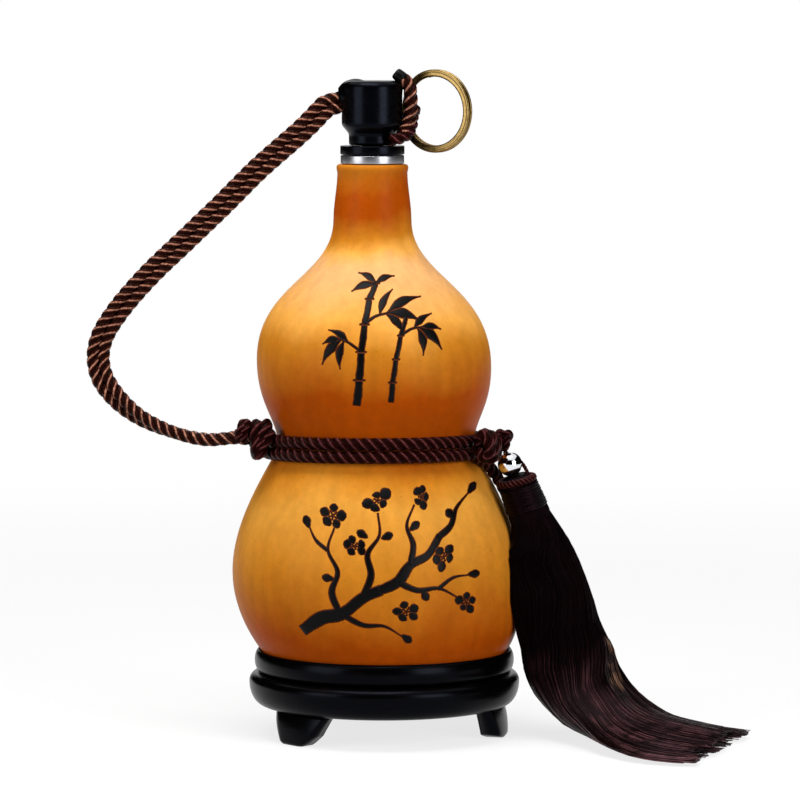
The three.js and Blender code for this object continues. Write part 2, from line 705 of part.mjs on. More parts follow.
// Skirt: hangs beside the belly, bends where it meets the table and fans out on it. Each station
// is a middle, then half its width and half its thickness there. Their heights go with the foot
// of the head, for which they were laid out at SKIRT_TOP.
const SKIRT_TOP = 92.7;
const SKIRT_STATIONS = [
  [[69.2, -12.6, 81], 11.6, 11.2],
  [[73.6, -12.4, 68.5], 13.4, 13],
  [[76, -12.2, 56], 15, 15.2],
  [[77.9, -12.4, 44], 16.4, 17],
  [[82, -13.6, 31], 17.6, 19],
  [[89.4, -17.4, 19.6], 19.6, 16],
  [[99, -25, 11.6], 22, 10.6],
  [[111, -33.4, 7.2], 28, 6.4],
  [[126.5, -42, 5], 34, 4.2],
  [[143.5, -48.4, 3.4], 34, 2.8],
];

function makeSkirt() {
  const top = tasselLine.clone().multiplyScalar(headFoot + CLEARANCE).add(pivot);
  const laid = SKIRT_STATIONS.map(([[x, y, z], w, t]) => [[x, y, (z * top.z) / SKIRT_TOP], w, t]);
  const stations = [[top.toArray(), TASSEL_HEAD_RADIUS, TASSEL_HEAD_RADIUS], ...laid];
  const line = new THREE.CatmullRomCurve3(stations.map(([p]) => vector(p)));
  const count = 2 * FLUTES;
  const rows = 2 * (stations.length - 1);
  const rings = [];
  for (let i = 0; i <= rows; i++) {
    const share = i / rows;
    const middle = line.getPoint(share);
    const along = i ? line.getTangent(share) : tasselLine.clone();
    const side = along.clone().cross(new THREE.Vector3(0, 0, 1)).normalize();
    const up = side.clone().cross(along);
    const [a, b] = [stations[Math.floor(i / 2)], stations[Math.ceil(i / 2)]];
    const [width, thickness] = [(a[1] + b[1]) / 2, (a[2] + b[2]) / 2];
    const ring = [];
    for (let k = 0; k < count; k++) {
      const angle = (-k / count) * 2 * Math.PI;
      const flute = 1 - (k % 2 ? FLUTE_DEPTH : 0);
      const p = middle
        .clone()
        .addScaledVector(side, width * flute * Math.cos(angle))
        .addScaledVector(up, thickness * flute * Math.sin(angle));
      ring.push(clearOfBelly(p));
    }
    rings.push(ring);
  }
  add(root, "tassel_skirt", loft(rings), TASSEL_FIBRE);
}

// The skirt is pressed against the belly, so points inside it move out to its skin.
function clearOfBelly(p) {
  const middle = drift(p.z);
  const away = Math.hypot(p.x - middle, p.y);
  const least = gourdRadius(p.z) + 2 * CLEARANCE;
  if (away >= least) return p;
  const scale = least / away;
  return new THREE.Vector3(middle + (p.x - middle) * scale, p.y * scale, p.z);
}

// Stand, in a group on its own axis
const stand = new THREE.Group();
stand.position.x = FOOT_DRIFT;
root.add(stand);

const seatRadius = gourdRadius(STAND_RING_TOP);
const STAND_GROOVE_RADIUS = seatRadius + STAND_GROOVE_REACH;
const BASE_RADIUS = seatRadius + BASE_REACH;
const BASE_UNDERSIDE_RADIUS = seatRadius - BASE_UNDERSIDE_INSET;
const BASE_BORE_RADIUS = seatRadius - BASE_BORE_INSET;
const LEG_OUTER_RADIUS = seatRadius + LEG_REACH;
const RING_UNDERSIDE = STAND_RING_TOP - STAND_RING_HEIGHT;
const BASE_TOP = RING_UNDERSIDE - CLEARANCE;

function makeStandRing() {
  // The seat follows the gourd's own outline.
  const seat = (z) => gourdRadius(z) + CLEARANCE * 1.5;
  const lip = RING_UNDERSIDE - SPIGOT_HEIGHT;
  const bore = seat(RING_UNDERSIDE) + 0.8;
  const middle = (STAND_RING_TOP + RING_UNDERSIDE) / 2;
  const crown = seat(STAND_RING_TOP);
  const bead = [];
  for (let i = 0; i <= 8; i++) {
    const a = radians(-78 + (156 * i) / 8);
    const bulge = STAND_RING_REACH - STAND_GROOVE_REACH;
    const r = STAND_GROOVE_RADIUS + bulge * Math.cos(a);
    bead.push([r, middle + (STAND_RING_HEIGHT / 2) * Math.sin(a)]);
  }
  const seatPoints = [3, 2, 1].map((k) => {
    const z = RING_UNDERSIDE + (STAND_RING_HEIGHT * k) / 4;
    return [seat(z), z];
  });
  const profile = [
    [bore, lip],
    [bore + SPIGOT_WIDTH, lip],
    [bore + SPIGOT_WIDTH, RING_UNDERSIDE],
    [STAND_GROOVE_RADIUS, RING_UNDERSIDE],
    ...bead.slice(1, -1),
    [crown + 0.3, STAND_RING_TOP],
    ...seatPoints,
    [bore, RING_UNDERSIDE],
    [bore, lip],
  ];
  add(stand, "stand_ring", turned(profile, 48), LACQUERED_WOOD);
  return bore;
}

function makeStandBase(ringBore) {
  const recess = ringBore + SPIGOT_WIDTH + CLEARANCE;
  const recessFloor = RING_UNDERSIDE - SPIGOT_HEIGHT - CLEARANCE;
  const widest = BASE_TOP - BASE_SHOULDER;
  const bowl = [];
  const fall = widest - BASE_UNDERSIDE;
  const fullness = 0.8; // an ellipse's quarter at 1, and fuller below that
  for (let i = 0; i <= 5; i++) {
    const a = radians((90 * i) / 5);
    const r = BASE_UNDERSIDE_RADIUS + (BASE_RADIUS - BASE_UNDERSIDE_RADIUS) * Math.sin(a) ** fullness;
    bowl.push([r, widest - fall * Math.cos(a)]);
  }
  const crown = [];
  for (let i = 1; i <= 4; i++) {
    const a = radians((90 * i) / 4);
    const r = STAND_GROOVE_RADIUS + (BASE_RADIUS - STAND_GROOVE_RADIUS) * Math.cos(a);
    crown.push([r, widest + BASE_SHOULDER * Math.sin(a)]);
  }
  const profile = [
    [BASE_BORE_RADIUS, BASE_UNDERSIDE],
    ...bowl,
    ...crown,
    [recess, BASE_TOP],
    [recess, recessFloor],
    [BASE_BORE_RADIUS + 1, recessFloor],
    [BASE_BORE_RADIUS, recessFloor - 1],
    [BASE_BORE_RADIUS, BASE_UNDERSIDE],
  ];
  let base = solid(turned(profile, 48));
  const depth = TENON_HEIGHT + CLEARANCE;
  for (const angle of legAngles()) {
    const mortise = new THREE.CylinderGeometry(
      TENON_RADIUS + CLEARANCE,
      TENON_RADIUS + CLEARANCE,
      depth + 1,
      12,
    )
      .rotateX(Math.PI / 2)
      .translate(0, -tenonRadius, BASE_UNDERSIDE + (depth - 1) / 2)
      .rotateZ(angle);
    base = base.subtract(solid(mortise));
  }
  add(stand, "stand_base", geometryOf(base), LACQUERED_WOOD);
}

const tenonRadius = (BASE_BORE_RADIUS + BASE_UNDERSIDE_RADIUS) / 2;
const legAngles = () =>
  Array.from({ length: LEG_COUNT }, (_, i) => radians(FIRST_LEG_DEG + (360 * i) / LEG_COUNT));

// A leg is bent round the stand: wide under the base, narrowing in a curve to its sole.
function makeLegs() {
  const top = BASE_UNDERSIDE - CLEARANCE;
  const levels = 6;
  const across = 6;
  const inner = LEG_OUTER_RADIUS - LEG_THICKNESS;
  const lean = 0.6 * (LEG_OUTER_RADIUS - BASE_UNDERSIDE_RADIUS); // inwards, at the top
  const rings = [];
  for (let i = 0; i <= levels; i++) {
    const share = i / levels;
    const z = top * share;
    const flare = Math.sin((share * Math.PI) / 2);
    const half = LEG_SOLE_HALF_WIDTH + (LEG_TOP_HALF_WIDTH - LEG_SOLE_HALF_WIDTH) * flare;
    const turn = half / LEG_OUTER_RADIUS;
    const outer = LEG_OUTER_RADIUS - lean * share ** 3;
    const ring = [];
    for (let k = 0; k <= across; k++) {
      const a = -turn + (2 * turn * k) / across;
      ring.push(new THREE.Vector3(outer * Math.sin(a), -outer * Math.cos(a), z));
    }
    for (let k = across; k >= 0; k--) {
      const a = -turn + (2 * turn * k) / across;
      ring.push(new THREE.Vector3(inner * Math.sin(a), -inner * Math.cos(a), z));
    }
    rings.push(ring);
  }
  const sunk = 1; // the tenon's root inside the leg
  const tenon = new THREE.CylinderGeometry(TENON_RADIUS, TENON_RADIUS, TENON_HEIGHT + sunk, 12)
    .rotateX(Math.PI / 2)
    .translate(0, -tenonRadius, top + (TENON_HEIGHT - sunk) / 2);
  const leg = solid(loft(rings)).add(solid(tenon));
  legAngles().forEach((angle, i) => {
    const mesh = add(stand, "stand_leg_" + (i + 1), geometryOf(leg), LACQUERED_WOOD);
    mesh.rotation.z = angle;
  });
}

makeGourd();
makeCollar();
makeKnob();
makeFlange();
makePlug();
makeStopperCords();
makeSplitRing();
makeBinding();
makeKnots();
makeStraps();
makeTasselHead();
makeSkirt();
makeStandBase(makeStandRing());
makeLegs();

export default root;
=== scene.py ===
# Wine gourd: the looks of a dried bottle gourd flask with its stopper, lanyard, tassel and stand.
# Metres, +Z up. The origin is on the table below the middle of the belly and the front faces -Y.
import json
import math
import random

import bmesh
import bpy
from mathutils import Matrix, Quaternion, Vector

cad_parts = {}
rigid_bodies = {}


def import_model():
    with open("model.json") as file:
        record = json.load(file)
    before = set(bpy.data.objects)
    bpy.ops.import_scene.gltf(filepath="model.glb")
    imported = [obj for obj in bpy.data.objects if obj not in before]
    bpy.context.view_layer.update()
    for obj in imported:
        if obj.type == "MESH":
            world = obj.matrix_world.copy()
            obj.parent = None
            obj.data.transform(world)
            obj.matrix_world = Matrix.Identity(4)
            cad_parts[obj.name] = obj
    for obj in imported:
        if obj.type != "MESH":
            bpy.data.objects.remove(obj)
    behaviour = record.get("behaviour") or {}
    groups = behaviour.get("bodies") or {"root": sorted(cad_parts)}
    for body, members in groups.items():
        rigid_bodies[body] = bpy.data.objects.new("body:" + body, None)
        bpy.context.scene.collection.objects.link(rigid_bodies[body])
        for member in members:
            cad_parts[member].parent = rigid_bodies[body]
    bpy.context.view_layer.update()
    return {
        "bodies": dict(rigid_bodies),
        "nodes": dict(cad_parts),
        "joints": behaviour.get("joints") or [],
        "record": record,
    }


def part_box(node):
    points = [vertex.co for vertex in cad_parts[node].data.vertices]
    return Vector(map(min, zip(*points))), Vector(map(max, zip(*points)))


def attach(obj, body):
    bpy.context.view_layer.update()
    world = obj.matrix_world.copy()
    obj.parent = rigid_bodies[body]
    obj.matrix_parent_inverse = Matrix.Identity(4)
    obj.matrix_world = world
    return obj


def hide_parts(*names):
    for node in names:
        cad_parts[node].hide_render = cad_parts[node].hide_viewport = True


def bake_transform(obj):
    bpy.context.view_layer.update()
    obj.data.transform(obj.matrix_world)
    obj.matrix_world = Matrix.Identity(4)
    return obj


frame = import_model()

bl_info = {
    "name": "Wine gourd",
    "version": (1, 0, 0),
    "blender": (4, 5, 0),
    "location": "3D View > Sidebar > Wine gourd",
    "description": "Builds a dried gourd flask with its stopper, lanyard, tassel and stand",
    "category": "Object",
}

MM = 0.001

# Gourd outline in millimetres
GOURD_BOTTOM = 16.4
BELLY_HEIGHT = 68.9
BELLY_RADIUS = 60.2
BELLY_FULLNESS = 2.5
WAIST_HEIGHT = 121.5
WAIST_RADIUS = 41
HEAD_HEIGHT = 156
HEAD_RADIUS = 49
NECK_HEIGHT = 216
NECK_RADIUS = 16.3
MOUTH_HEIGHT = 239.2
MOUTH_RADIUS = 15
MOUTH_ROUNDING = 1.2
GOURD_WALL = 3.4
NECK_BORE_RADIUS = 11.3
BELLY_RISE = 24
WAIST_FALL = 4
WAIST_RISE = 11
HEAD_FALL = 18
HEAD_RISE = 33
NECK_FALL = 24
FOOT_DRIFT = 3.5
MOUTH_DRIFT = -1.4
FOOT_REST = 33.1

# Middle of the mouth's edge, in millimetres
MOUTH = Vector((MOUTH_DRIFT, 0, MOUTH_HEIGHT))

# Stopper, in millimetres over the mouth
STUD_RADIUS = 4.0
STUD_TOP = 12.6
KNOB_TOP = 34.7
KNOB_RADIUS = 12.8
KNOB_ROUNDING = 3.2
HOLE_HEIGHT = 26.1
EAR_OFFSET = 7
EAR_HEIGHT = 28.6
EAR_HALF_LENGTH = 8
EAR_HALF_WIDTH = 6.6
EAR_HALF_HEIGHT = 6.9
FLANGE_BOTTOM = 4.0
FLANGE_TOP = 7.7
FLANGE_RADIUS = 13.4
PLUG_RADIUS = 8.95
SEAL_HEIGHTS = (-9.8, -3.3)

CORD_DIAMETER = 5.0
HITCH_HEIGHT = 10.55
STRAP_KNOT_HEIGHT = 126.2

# Camera, in metres: at the ring's height, 2 m in front of the gourd's middle
CAMERA_PLACE = (0.0, -2.0, 0.315)
CAMERA_TARGET = (0.0101, 0, 0.1405)
SENSOR_WIDTH = 36
FRAME_WIDTH = 0.336
# The picture plane is seen at a slant, because the camera looks down a little.
SLANT = 1.0076

# Strap's middle line in millimetres, from the ear of the stopper to the left knot
STRAP_ROUTE = [
    (-20.2, -0.3, 263.5), (-22.6, -0.6, 261.4), (-26.6, -1, 257.2), (-31.6, -1.4, 252.4),
    (-48.5, -1.4, 237.6), (-63.8, -1.2, 222.4), (-79.6, -1, 207.3), (-95.3, -0.8, 192.2),
    (-108, -0.8, 177.4), (-114.3, -0.8, 167), (-116, -1, 158.6), (-114.3, -1.6, 150.2),
    (-108.4, -2.8, 141.8), (-98.5, -5, 133.8), (-83.2, -9.4, 127.6), (-70, -13.4, 125.2),
]

# Skirt of the tassel: middle, half width and half thickness, in millimetres
SKIRT_STATIONS = [
    ((68.7, -12.6, 81), 11.2, 11.2), ((73, -12.4, 68.5), 12.9, 13), ((75.4, -12.2, 56), 14.5, 15.2),
    ((77.2, -12.4, 44), 15.9, 17), ((81.2, -13.6, 31), 17, 19), ((88.4, -17.4, 19.6), 19.2, 16),
    ((99, -25, 11.6), 22, 10.6), ((111, -33.4, 7.2), 28, 6.4), ((126.5, -42, 5), 34, 4.2),
    ((143.5, -48.4, 3.4), 34, 2.8),
]


def colour(code):
    """Linear colour of an sRGB hex value."""
    channels = [int(code[i : i + 2], 16) / 255 for i in (0, 2, 4)]
    light = [c / 12.92 if c <= 0.04045 else ((c + 0.055) / 1.055) ** 2.4 for c in channels]
    return (*light, 1.0)


def tint(name, description, code):
    return bpy.props.FloatVectorProperty(
        name=name, description=description, default=colour(code), size=4,
        subtype="COLOR", min=0, max=1,
    )


def length(name, description, millimetres):
    return bpy.props.FloatProperty(
        name=name, description=description, default=millimetres * MM, min=0,
        subtype="DISTANCE", unit="LENGTH",
    )


def power(name, description, watts):
    return bpy.props.FloatProperty(
        name=name, description=description, default=watts, min=0, unit="POWER",
    )


class GourdLook(bpy.types.PropertyGroup):
    # Light and pale skin are painted light and a painted highlight on the shoulders, warm skin is
    # painted light on the top of the belly, and deep skin is the rind's deeper tone with painted
    # shade.
    painted_lit_skin: tint("Light skin", "Skin on the shoulders, where the varnish is thin", "EDA648")
    painted_highlight_skin: tint("Pale skin", "Skin on top of the shoulders, rubbed palest", "EDB070")
    painted_lit_belly_skin: tint("Warm skin", "Skin over the middle of the belly", "DE993A")
    golden_skin: tint("Golden skin", "Skin round the middle of belly and head", "CE8020")
    deep_skin_and_painted_shade: tint("Deep skin", "Skin low on the belly and round the waist", "B24C04")
    burnt_ink: tint("Burnt stroke", "Middle of the burnt brushwork", "030202")
    scorched_rim: tint("Scorched rim", "Thin rim of a burnt stroke", "5A2408")


class CordLook(bpy.types.PropertyGroup):
    diameter: length("Cord thickness", "Thickness of the twisted cord", CORD_DIAMETER)
    lay: length("Lay", "Length in which a strand goes once round the cord", 12.6)
    # Valley and gleam are painted shade and a painted highlight in the cord's colour.
    painted_valley_shade: tint("Valley", "Colour between the strands", "060202")
    crest: tint("Crest", "Colour on top of a strand", "1F0705")
    gleam: tint("Gleam", "Gleam of the satin yarn", "D08E74")
    # The dull gleam is the painted highlight of the cord where it lies in shade, dimmer and more
    # purple.
    painted_gleam_in_shade: tint(
        "Dull gleam", "Gleam of the tied cord, that is rubbed and drawn tight", "6E3A3C",
    )


class TasselLook(bpy.types.PropertyGroup):
    threads: bpy.props.IntProperty(
        name="Threads", description="Threads on the outside of the skirt", default=1500, min=10,
    )
    thread: length("Thread thickness", "Thickness of one thread", 0.42)
    dark: tint("Dark thread", "Most of the threads", "030102")
    brown: tint("Brown thread", "Threads that catch the light", "7A4E52")


class StandLook(bpy.types.PropertyGroup):
    lacquer: tint("Lacquer", "Black lacquer of the stand", "020202")
    worn: tint("Worn edge", "Brown that shows where the lacquer is thin", "180B06")


class StageLook(bpy.types.PropertyGroup):
    overhead: power("Overhead box", "Power of the box over the gourd", 10.2)
    left: power("Left box", "Power of the left box", 7.2)
    right: power("Right box", "Power of the right box", 9.6)
    ambient: bpy.props.FloatProperty(
        name="Ambient", description="Light from the room", default=0.18, min=0,
    )


# Nodes


def node(tree, kind, inputs=None, stops=None, **settings):
    """A node with its settings, its stops if it is a ramp, and values or links on its inputs.

    A node given as an input's value is linked by its first output.
    """
    made = tree.nodes.new(kind)
    for key, value in settings.items():
        setattr(made, key, value)
    for i, (place, shade) in enumerate(stops or []):
        element = made.color_ramp.elements
        stop = element[i] if i < 2 else element.new(place)
        stop.position = place
        stop.color = shade
    for key, value in (inputs or {}).items():
        if isinstance(value, bpy.types.Node):
            value = value.outputs[0]
        if isinstance(value, bpy.types.NodeSocket):
            tree.links.new(value, made.inputs[key])
        else:
            made.inputs[key].default_value = value
    return made


def new_material(name):
    """An empty material and its node tree."""
    made = bpy.data.materials.new(name)
    made.use_nodes = True
    made.node_tree.nodes.clear()
    return made, made.node_tree


def shade(tree, **inputs):
    """Closes a material with its shader. Input names have _ in place of spaces."""
    named = {key.replace("_", " "): value for key, value in inputs.items()}
    shader = node(tree, "ShaderNodeBsdfPrincipled", named)
    node(tree, "ShaderNodeOutputMaterial", {"Surface": shader})
    return shader


# Shapes


def catmull_rom(points, step):
    """Centripetal Catmull-Rom line through the points, cut into equal steps."""
    points = [Vector(p) for p in points]
    ends = [points[0] * 2 - points[1], *points, points[-1] * 2 - points[-2]]
    fine = []
    for i in range(len(points) - 1):
        p = ends[i : i + 4]
        t = [0.0]
        for a, b in zip(p, p[1:]):
            t.append(t[-1] + max((b - a).length, 1e-9) ** 0.5)

        def between(a, b, low, high, at):
            return a * ((high - at) / (high - low)) + b * ((at - low) / (high - low))

        for k in range(24):
            at = t[1] + (t[2] - t[1]) * k / 24
            first = [between(p[j], p[j + 1], t[j], t[j + 1], at) for j in range(3)]
            second = [between(first[j], first[j + 1], t[j], t[j + 2], at) for j in range(2)]
            fine.append(between(second[0], second[1], t[1], t[2], at))
    fine.append(points[-1])
    return resample(fine, step)


def resample(line, step):
    """The same line with points at equal steps."""
    lengths = [0.0]
    for a, b in zip(line, line[1:]):
        lengths.append(lengths[-1] + (b - a).length)
    count = max(2, round(lengths[-1] / step))
    result, k = [], 0
    for i in range(count + 1):
        wanted = lengths[-1] * i / count
        while k < len(line) - 2 and lengths[k + 1] < wanted:
            k += 1
        span = lengths[k + 1] - lengths[k] or 1.0
        result.append(line[k].lerp(line[k + 1], min(1.0, (wanted - lengths[k]) / span)))
    return result


def tangents(line):
    """Direction of a line at each of its points."""
    last = len(line) - 1
    return [(line[min(i + 1, last)] - line[max(i - 1, 0)]).normalized() for i in range(last + 1)]


def normals(line):
    """One normal at each point, turning as little as it can along the line."""
    along = tangents(line)
    side = along[0].cross(Vector((0, 0, 1)))
    if side.length < 0.1:
        side = along[0].cross(Vector((0, 1, 0)))
    result = [side.normalized()]
    for before, after in zip(along, along[1:]):
        turn = before.rotation_difference(after)
        turned_side = turn @ result[-1]
        result.append((turned_side - after * turned_side.dot(after)).normalized())
    return result


def loft(rings, lengths=None, ends=True):
    """Skin over rings of as many points: its points, faces and corner UVs."""
    count = len(rings[0])
    lengths = lengths or [i / (len(rings) - 1) for i in range(len(rings))]
    points = [p for ring in rings for p in ring]
    faces, corners = [], []
    for k in range(len(rings) - 1):
        low, high = k * count, (k + 1) * count
        for i in range(count):
            j = (i + 1) % count
            u0, u1 = i / count, (i + 1) / count
            faces.append((low + i, low + j, high + j, high + i))
            corners.append(
                ((u0, lengths[k]), (u1, lengths[k]), (u1, lengths[k + 1]), (u0, lengths[k + 1])),
            )
    if ends:
        for base, place in ((0, lengths[0]), (len(points) - count, lengths[-1])):
            faces.append(tuple(base + i for i in range(count)))
            corners.append(tuple((i / count, place) for i in range(count)))
    return points, faces, corners


def piece(name, skins, material):
    """One object from several skins, with its faces outwards."""
    points, faces, corners = [], [], []
    for skin_points, skin_faces, skin_corners in skins:
        start = len(points)
        points += [tuple(p) for p in skin_points]
        faces += [tuple(start + i for i in face) for face in skin_faces]
        corners += skin_corners
    mesh = bpy.data.meshes.new(name)
    mesh.from_pydata(points, [], faces)
    layer = mesh.uv_layers.new(name="UVMap")
    flat_corners = [value for face in corners for corner in face for value in corner]
    layer.data.foreach_set("uv", flat_corners)
    work = bmesh.new()
    work.from_mesh(mesh)
    bmesh.ops.recalc_face_normals(work, faces=work.faces)
    work.to_mesh(mesh)
    work.free()
    mesh.materials.append(material)
    mesh.polygons.foreach_set("use_smooth", [True] * len(mesh.polygons))
    made = bpy.data.objects.new(name, mesh)
    bpy.context.scene.collection.objects.link(made)
    return made


def place(made, body, slot, *nodes):
    """Sets the body that a piece rides on and hides the solids that it replaces. slot is not used.
    """
    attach(made, body)
    if nodes:
        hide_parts(*nodes)


def tie(name, skins, material, body, slot, *nodes):
    """A cord's rope as a piece of its own, placed on its body."""
    place(piece(name, skins, material_for(material)), body, slot, *nodes)


def middle_of(solid):
    """Middle of a solid's box, in metres."""
    low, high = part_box(solid)
    return (low + high) / 2


def tube(line, radius, sides=10, taper=None):
    """Round tube along a line. taper gives its thickness as a share at each share of the line."""
    along, side = tangents(line), normals(line)
    rings, lengths, walked = [], [], 0.0
    for i, p in enumerate(line):
        if i:
            walked += (p - line[i - 1]).length
        lengths.append(walked)
        up = along[i].cross(side[i])
        r = radius * (taper(i / (len(line) - 1)) if taper else 1.0)
        angles = [2 * math.pi * k / sides for k in range(sides)]
        rings.append([p + side[i] * (r * math.cos(a)) + up * (r * math.sin(a)) for a in angles])
    return loft(rings, lengths)


def rope(line, diameter, lay, strands=3, sides=12, phase=0.0, pinch=None):
    """Strands laid right-handed round a line. u runs round a strand from its crest."""
    along, side = tangents(line), normals(line)
    radius = diameter / 2
    strand = radius * 0.61
    away = radius * 0.42
    skins = []
    for s in range(strands):
        middle, lengths, walked = [], [], 0.0
        for i, p in enumerate(line):
            if i:
                walked += (p - line[i - 1]).length
            lengths.append(walked)
            a = phase + 2 * math.pi * (s / strands + walked / lay)
            up = along[i].cross(side[i])
            thin = pinch(i / (len(line) - 1)) if pinch else 1.0
            middle.append(p + (side[i] * math.cos(a) + up * math.sin(a)) * (away * thin))
        direction = tangents(middle)
        rings = []
        for i, m in enumerate(middle):
            thin = pinch(i / (len(line) - 1)) if pinch else 1.0
            out = m - line[i]
            out = (out - direction[i] * out.dot(direction[i])).normalized()
            across = direction[i].cross(out)
            angles = [2 * math.pi * k / sides for k in range(sides)]
            r = strand * thin
            rings.append([m + out * (r * math.cos(a)) + across * (r * math.sin(a)) for a in angles])
        skins.append(loft(rings, lengths))
    return skins


def turned(profile, segments=96, middle=(0.0, 0.0, 0.0)):
    """Turned shape about Z from [radius, height] points. A point with radius 0 closes it."""
    middle = Vector(middle)
    points, faces, corners, rows = [], [], [], []
    for r, z in profile:
        if r < 1e-6:
            rows.append([len(points)] * segments)
            points.append(middle + Vector((0, 0, z * MM)))
            continue
        rows.append(list(range(len(points), len(points) + segments)))
        for i in range(segments):
            a = 2 * math.pi * i / segments
            points.append(middle + Vector((r * math.cos(a), r * math.sin(a), z)) * MM)
    walked = 0.0
    for k in range(len(rows) - 1):
        step = math.dist(profile[k], profile[k + 1]) * MM
        for i in range(segments):
            j = (i + 1) % segments
            face = [rows[k][i], rows[k][j], rows[k + 1][j], rows[k + 1][i]]
            u0, u1 = i / segments, (i + 1) / segments
            uv = [(u0, walked), (u1, walked), (u1, walked + step), (u0, walked + step)]
            kept = [n for n in range(4) if face[n] not in face[:n]]
            if len(kept) > 2:
                faces.append(tuple(face[n] for n in kept))
                corners.append(tuple(uv[n] for n in kept))
        walked += step
    return points, faces, corners


def rounded(profile, bevel, steps=4):
    """A profile with its corners rounded, in the profile's own units."""
    result = [profile[0]]
    for before, corner, after in zip(profile, profile[1:], profile[2:]):
        a, b, c = Vector(before), Vector(corner), Vector(after)
        reach = min(bevel, (a - b).length * 0.45, (c - b).length * 0.45)
        start = b + (a - b).normalized() * reach
        end = b + (c - b).normalized() * reach
        for i in range(steps + 1):
            t = i / steps
            result.append(tuple(start.lerp(b, t).lerp(b.lerp(end, t), t)))
    result.append(profile[-1])
    return result


def smoothstep(x, low, high):
    """0 below low, 1 above high, and a soft rise between them."""
    t = min(1.0, max(0.0, (x - low) / (high - low)))
    return t * t * (3 - 2 * t)


# Outline of the gourd


def outline(bottom, belly, waist, head, neck, steps):
    """Radii and heights of a gourd's side, from the middle of its foot up to its neck."""
    depth = BELLY_HEIGHT - bottom
    points = [(0.0, bottom)]
    for i in range(1, steps):
        a = math.pi / 2 * i / steps
        across = math.sin(a) ** (2 / BELLY_FULLNESS)
        down = math.cos(a) ** (2 / BELLY_FULLNESS)
        points.append((belly * across, BELLY_HEIGHT - depth * down))
    bends = [
        (belly, BELLY_HEIGHT, BELLY_RISE, waist, WAIST_HEIGHT, WAIST_FALL),
        (waist, WAIST_HEIGHT, WAIST_RISE, head, HEAD_HEIGHT, HEAD_FALL),
        (head, HEAD_HEIGHT, HEAD_RISE, neck, NECK_HEIGHT, NECK_FALL),
    ]
    for r0, z0, rise, r1, z1, fall in bends:
        a, b = Vector((r0, z0)), Vector((r0, z0 + rise))
        c, d = Vector((r1, z1 - fall)), Vector((r1, z1))
        for i in range(steps):
            t = i / steps
            p = a * (1 - t) ** 3 + b * (3 * t * (1 - t) ** 2) + c * (3 * t * t * (1 - t)) + d * t**3
            points.append((p.x, p.y))
    return points


OUTSIDE = outline(GOURD_BOTTOM, BELLY_RADIUS, WAIST_RADIUS, HEAD_RADIUS, NECK_RADIUS, 40)
OUTSIDE += [(NECK_RADIUS, NECK_HEIGHT)]
OUTSIDE += [
    (NECK_RADIUS - (NECK_RADIUS - MOUTH_RADIUS + 0.4) * smoothstep(z, NECK_HEIGHT, 236), z)
    for z in (220, 224, 228, 232, 235.6)
]
OUTSIDE += [(MOUTH_RADIUS - 0.1, 236.8), (MOUTH_RADIUS, MOUTH_HEIGHT - MOUTH_ROUNDING)]
OUTSIDE += [
    (MOUTH_RADIUS - 0.35, MOUTH_HEIGHT - 0.35), (MOUTH_RADIUS - MOUTH_ROUNDING, MOUTH_HEIGHT),
]


def skin_radius(height):
    """Radius of the gourd's outside in millimetres at a height in millimetres."""
    for (r0, z0), (r1, z1) in zip(OUTSIDE, OUTSIDE[1:]):
        if z0 <= height <= z1:
            return r0 + (r1 - r0) * (height - z0) / (z1 - z0)
    return 0.0


def drift(height):
    """How far the gourd's middle stands to the right at a height: it isn't quite straight."""
    foot = FOOT_DRIFT * (1 - smoothstep(height, FOOT_REST, BELLY_HEIGHT))
    return foot + MOUTH_DRIFT * smoothstep(height, WAIST_HEIGHT, (HEAD_HEIGHT + NECK_HEIGHT) / 2)


def beside_gourd(angle, radius, height):
    """Point beside the gourd, in metres, from an angle in degrees from the front to its right."""
    a = math.radians(angle)
    return Vector((drift(height) + radius * math.sin(a), -radius * math.cos(a), height)) * MM


# Materials

MATERIALS = {}


def material_for(make):
    """A material that several pieces share is made once."""
    if make not in MATERIALS:
        MATERIALS[make] = make()
    return MATERIALS[make]


def cord_material():
    """Twisted polyester cord: satin yarn, with painted shade between the strands and a painted
    highlight on their crests.
    """
    return satin_cord("twisted satin cord", bpy.context.scene.cord_look.gleam)


def shaded_cord_material():
    """The same cord where it is tied, coloured as cord in shade: its painted highlight is dimmer
    and more purple.
    """
    return satin_cord("satin cord in painted shade", bpy.context.scene.cord_look.painted_gleam_in_shade)


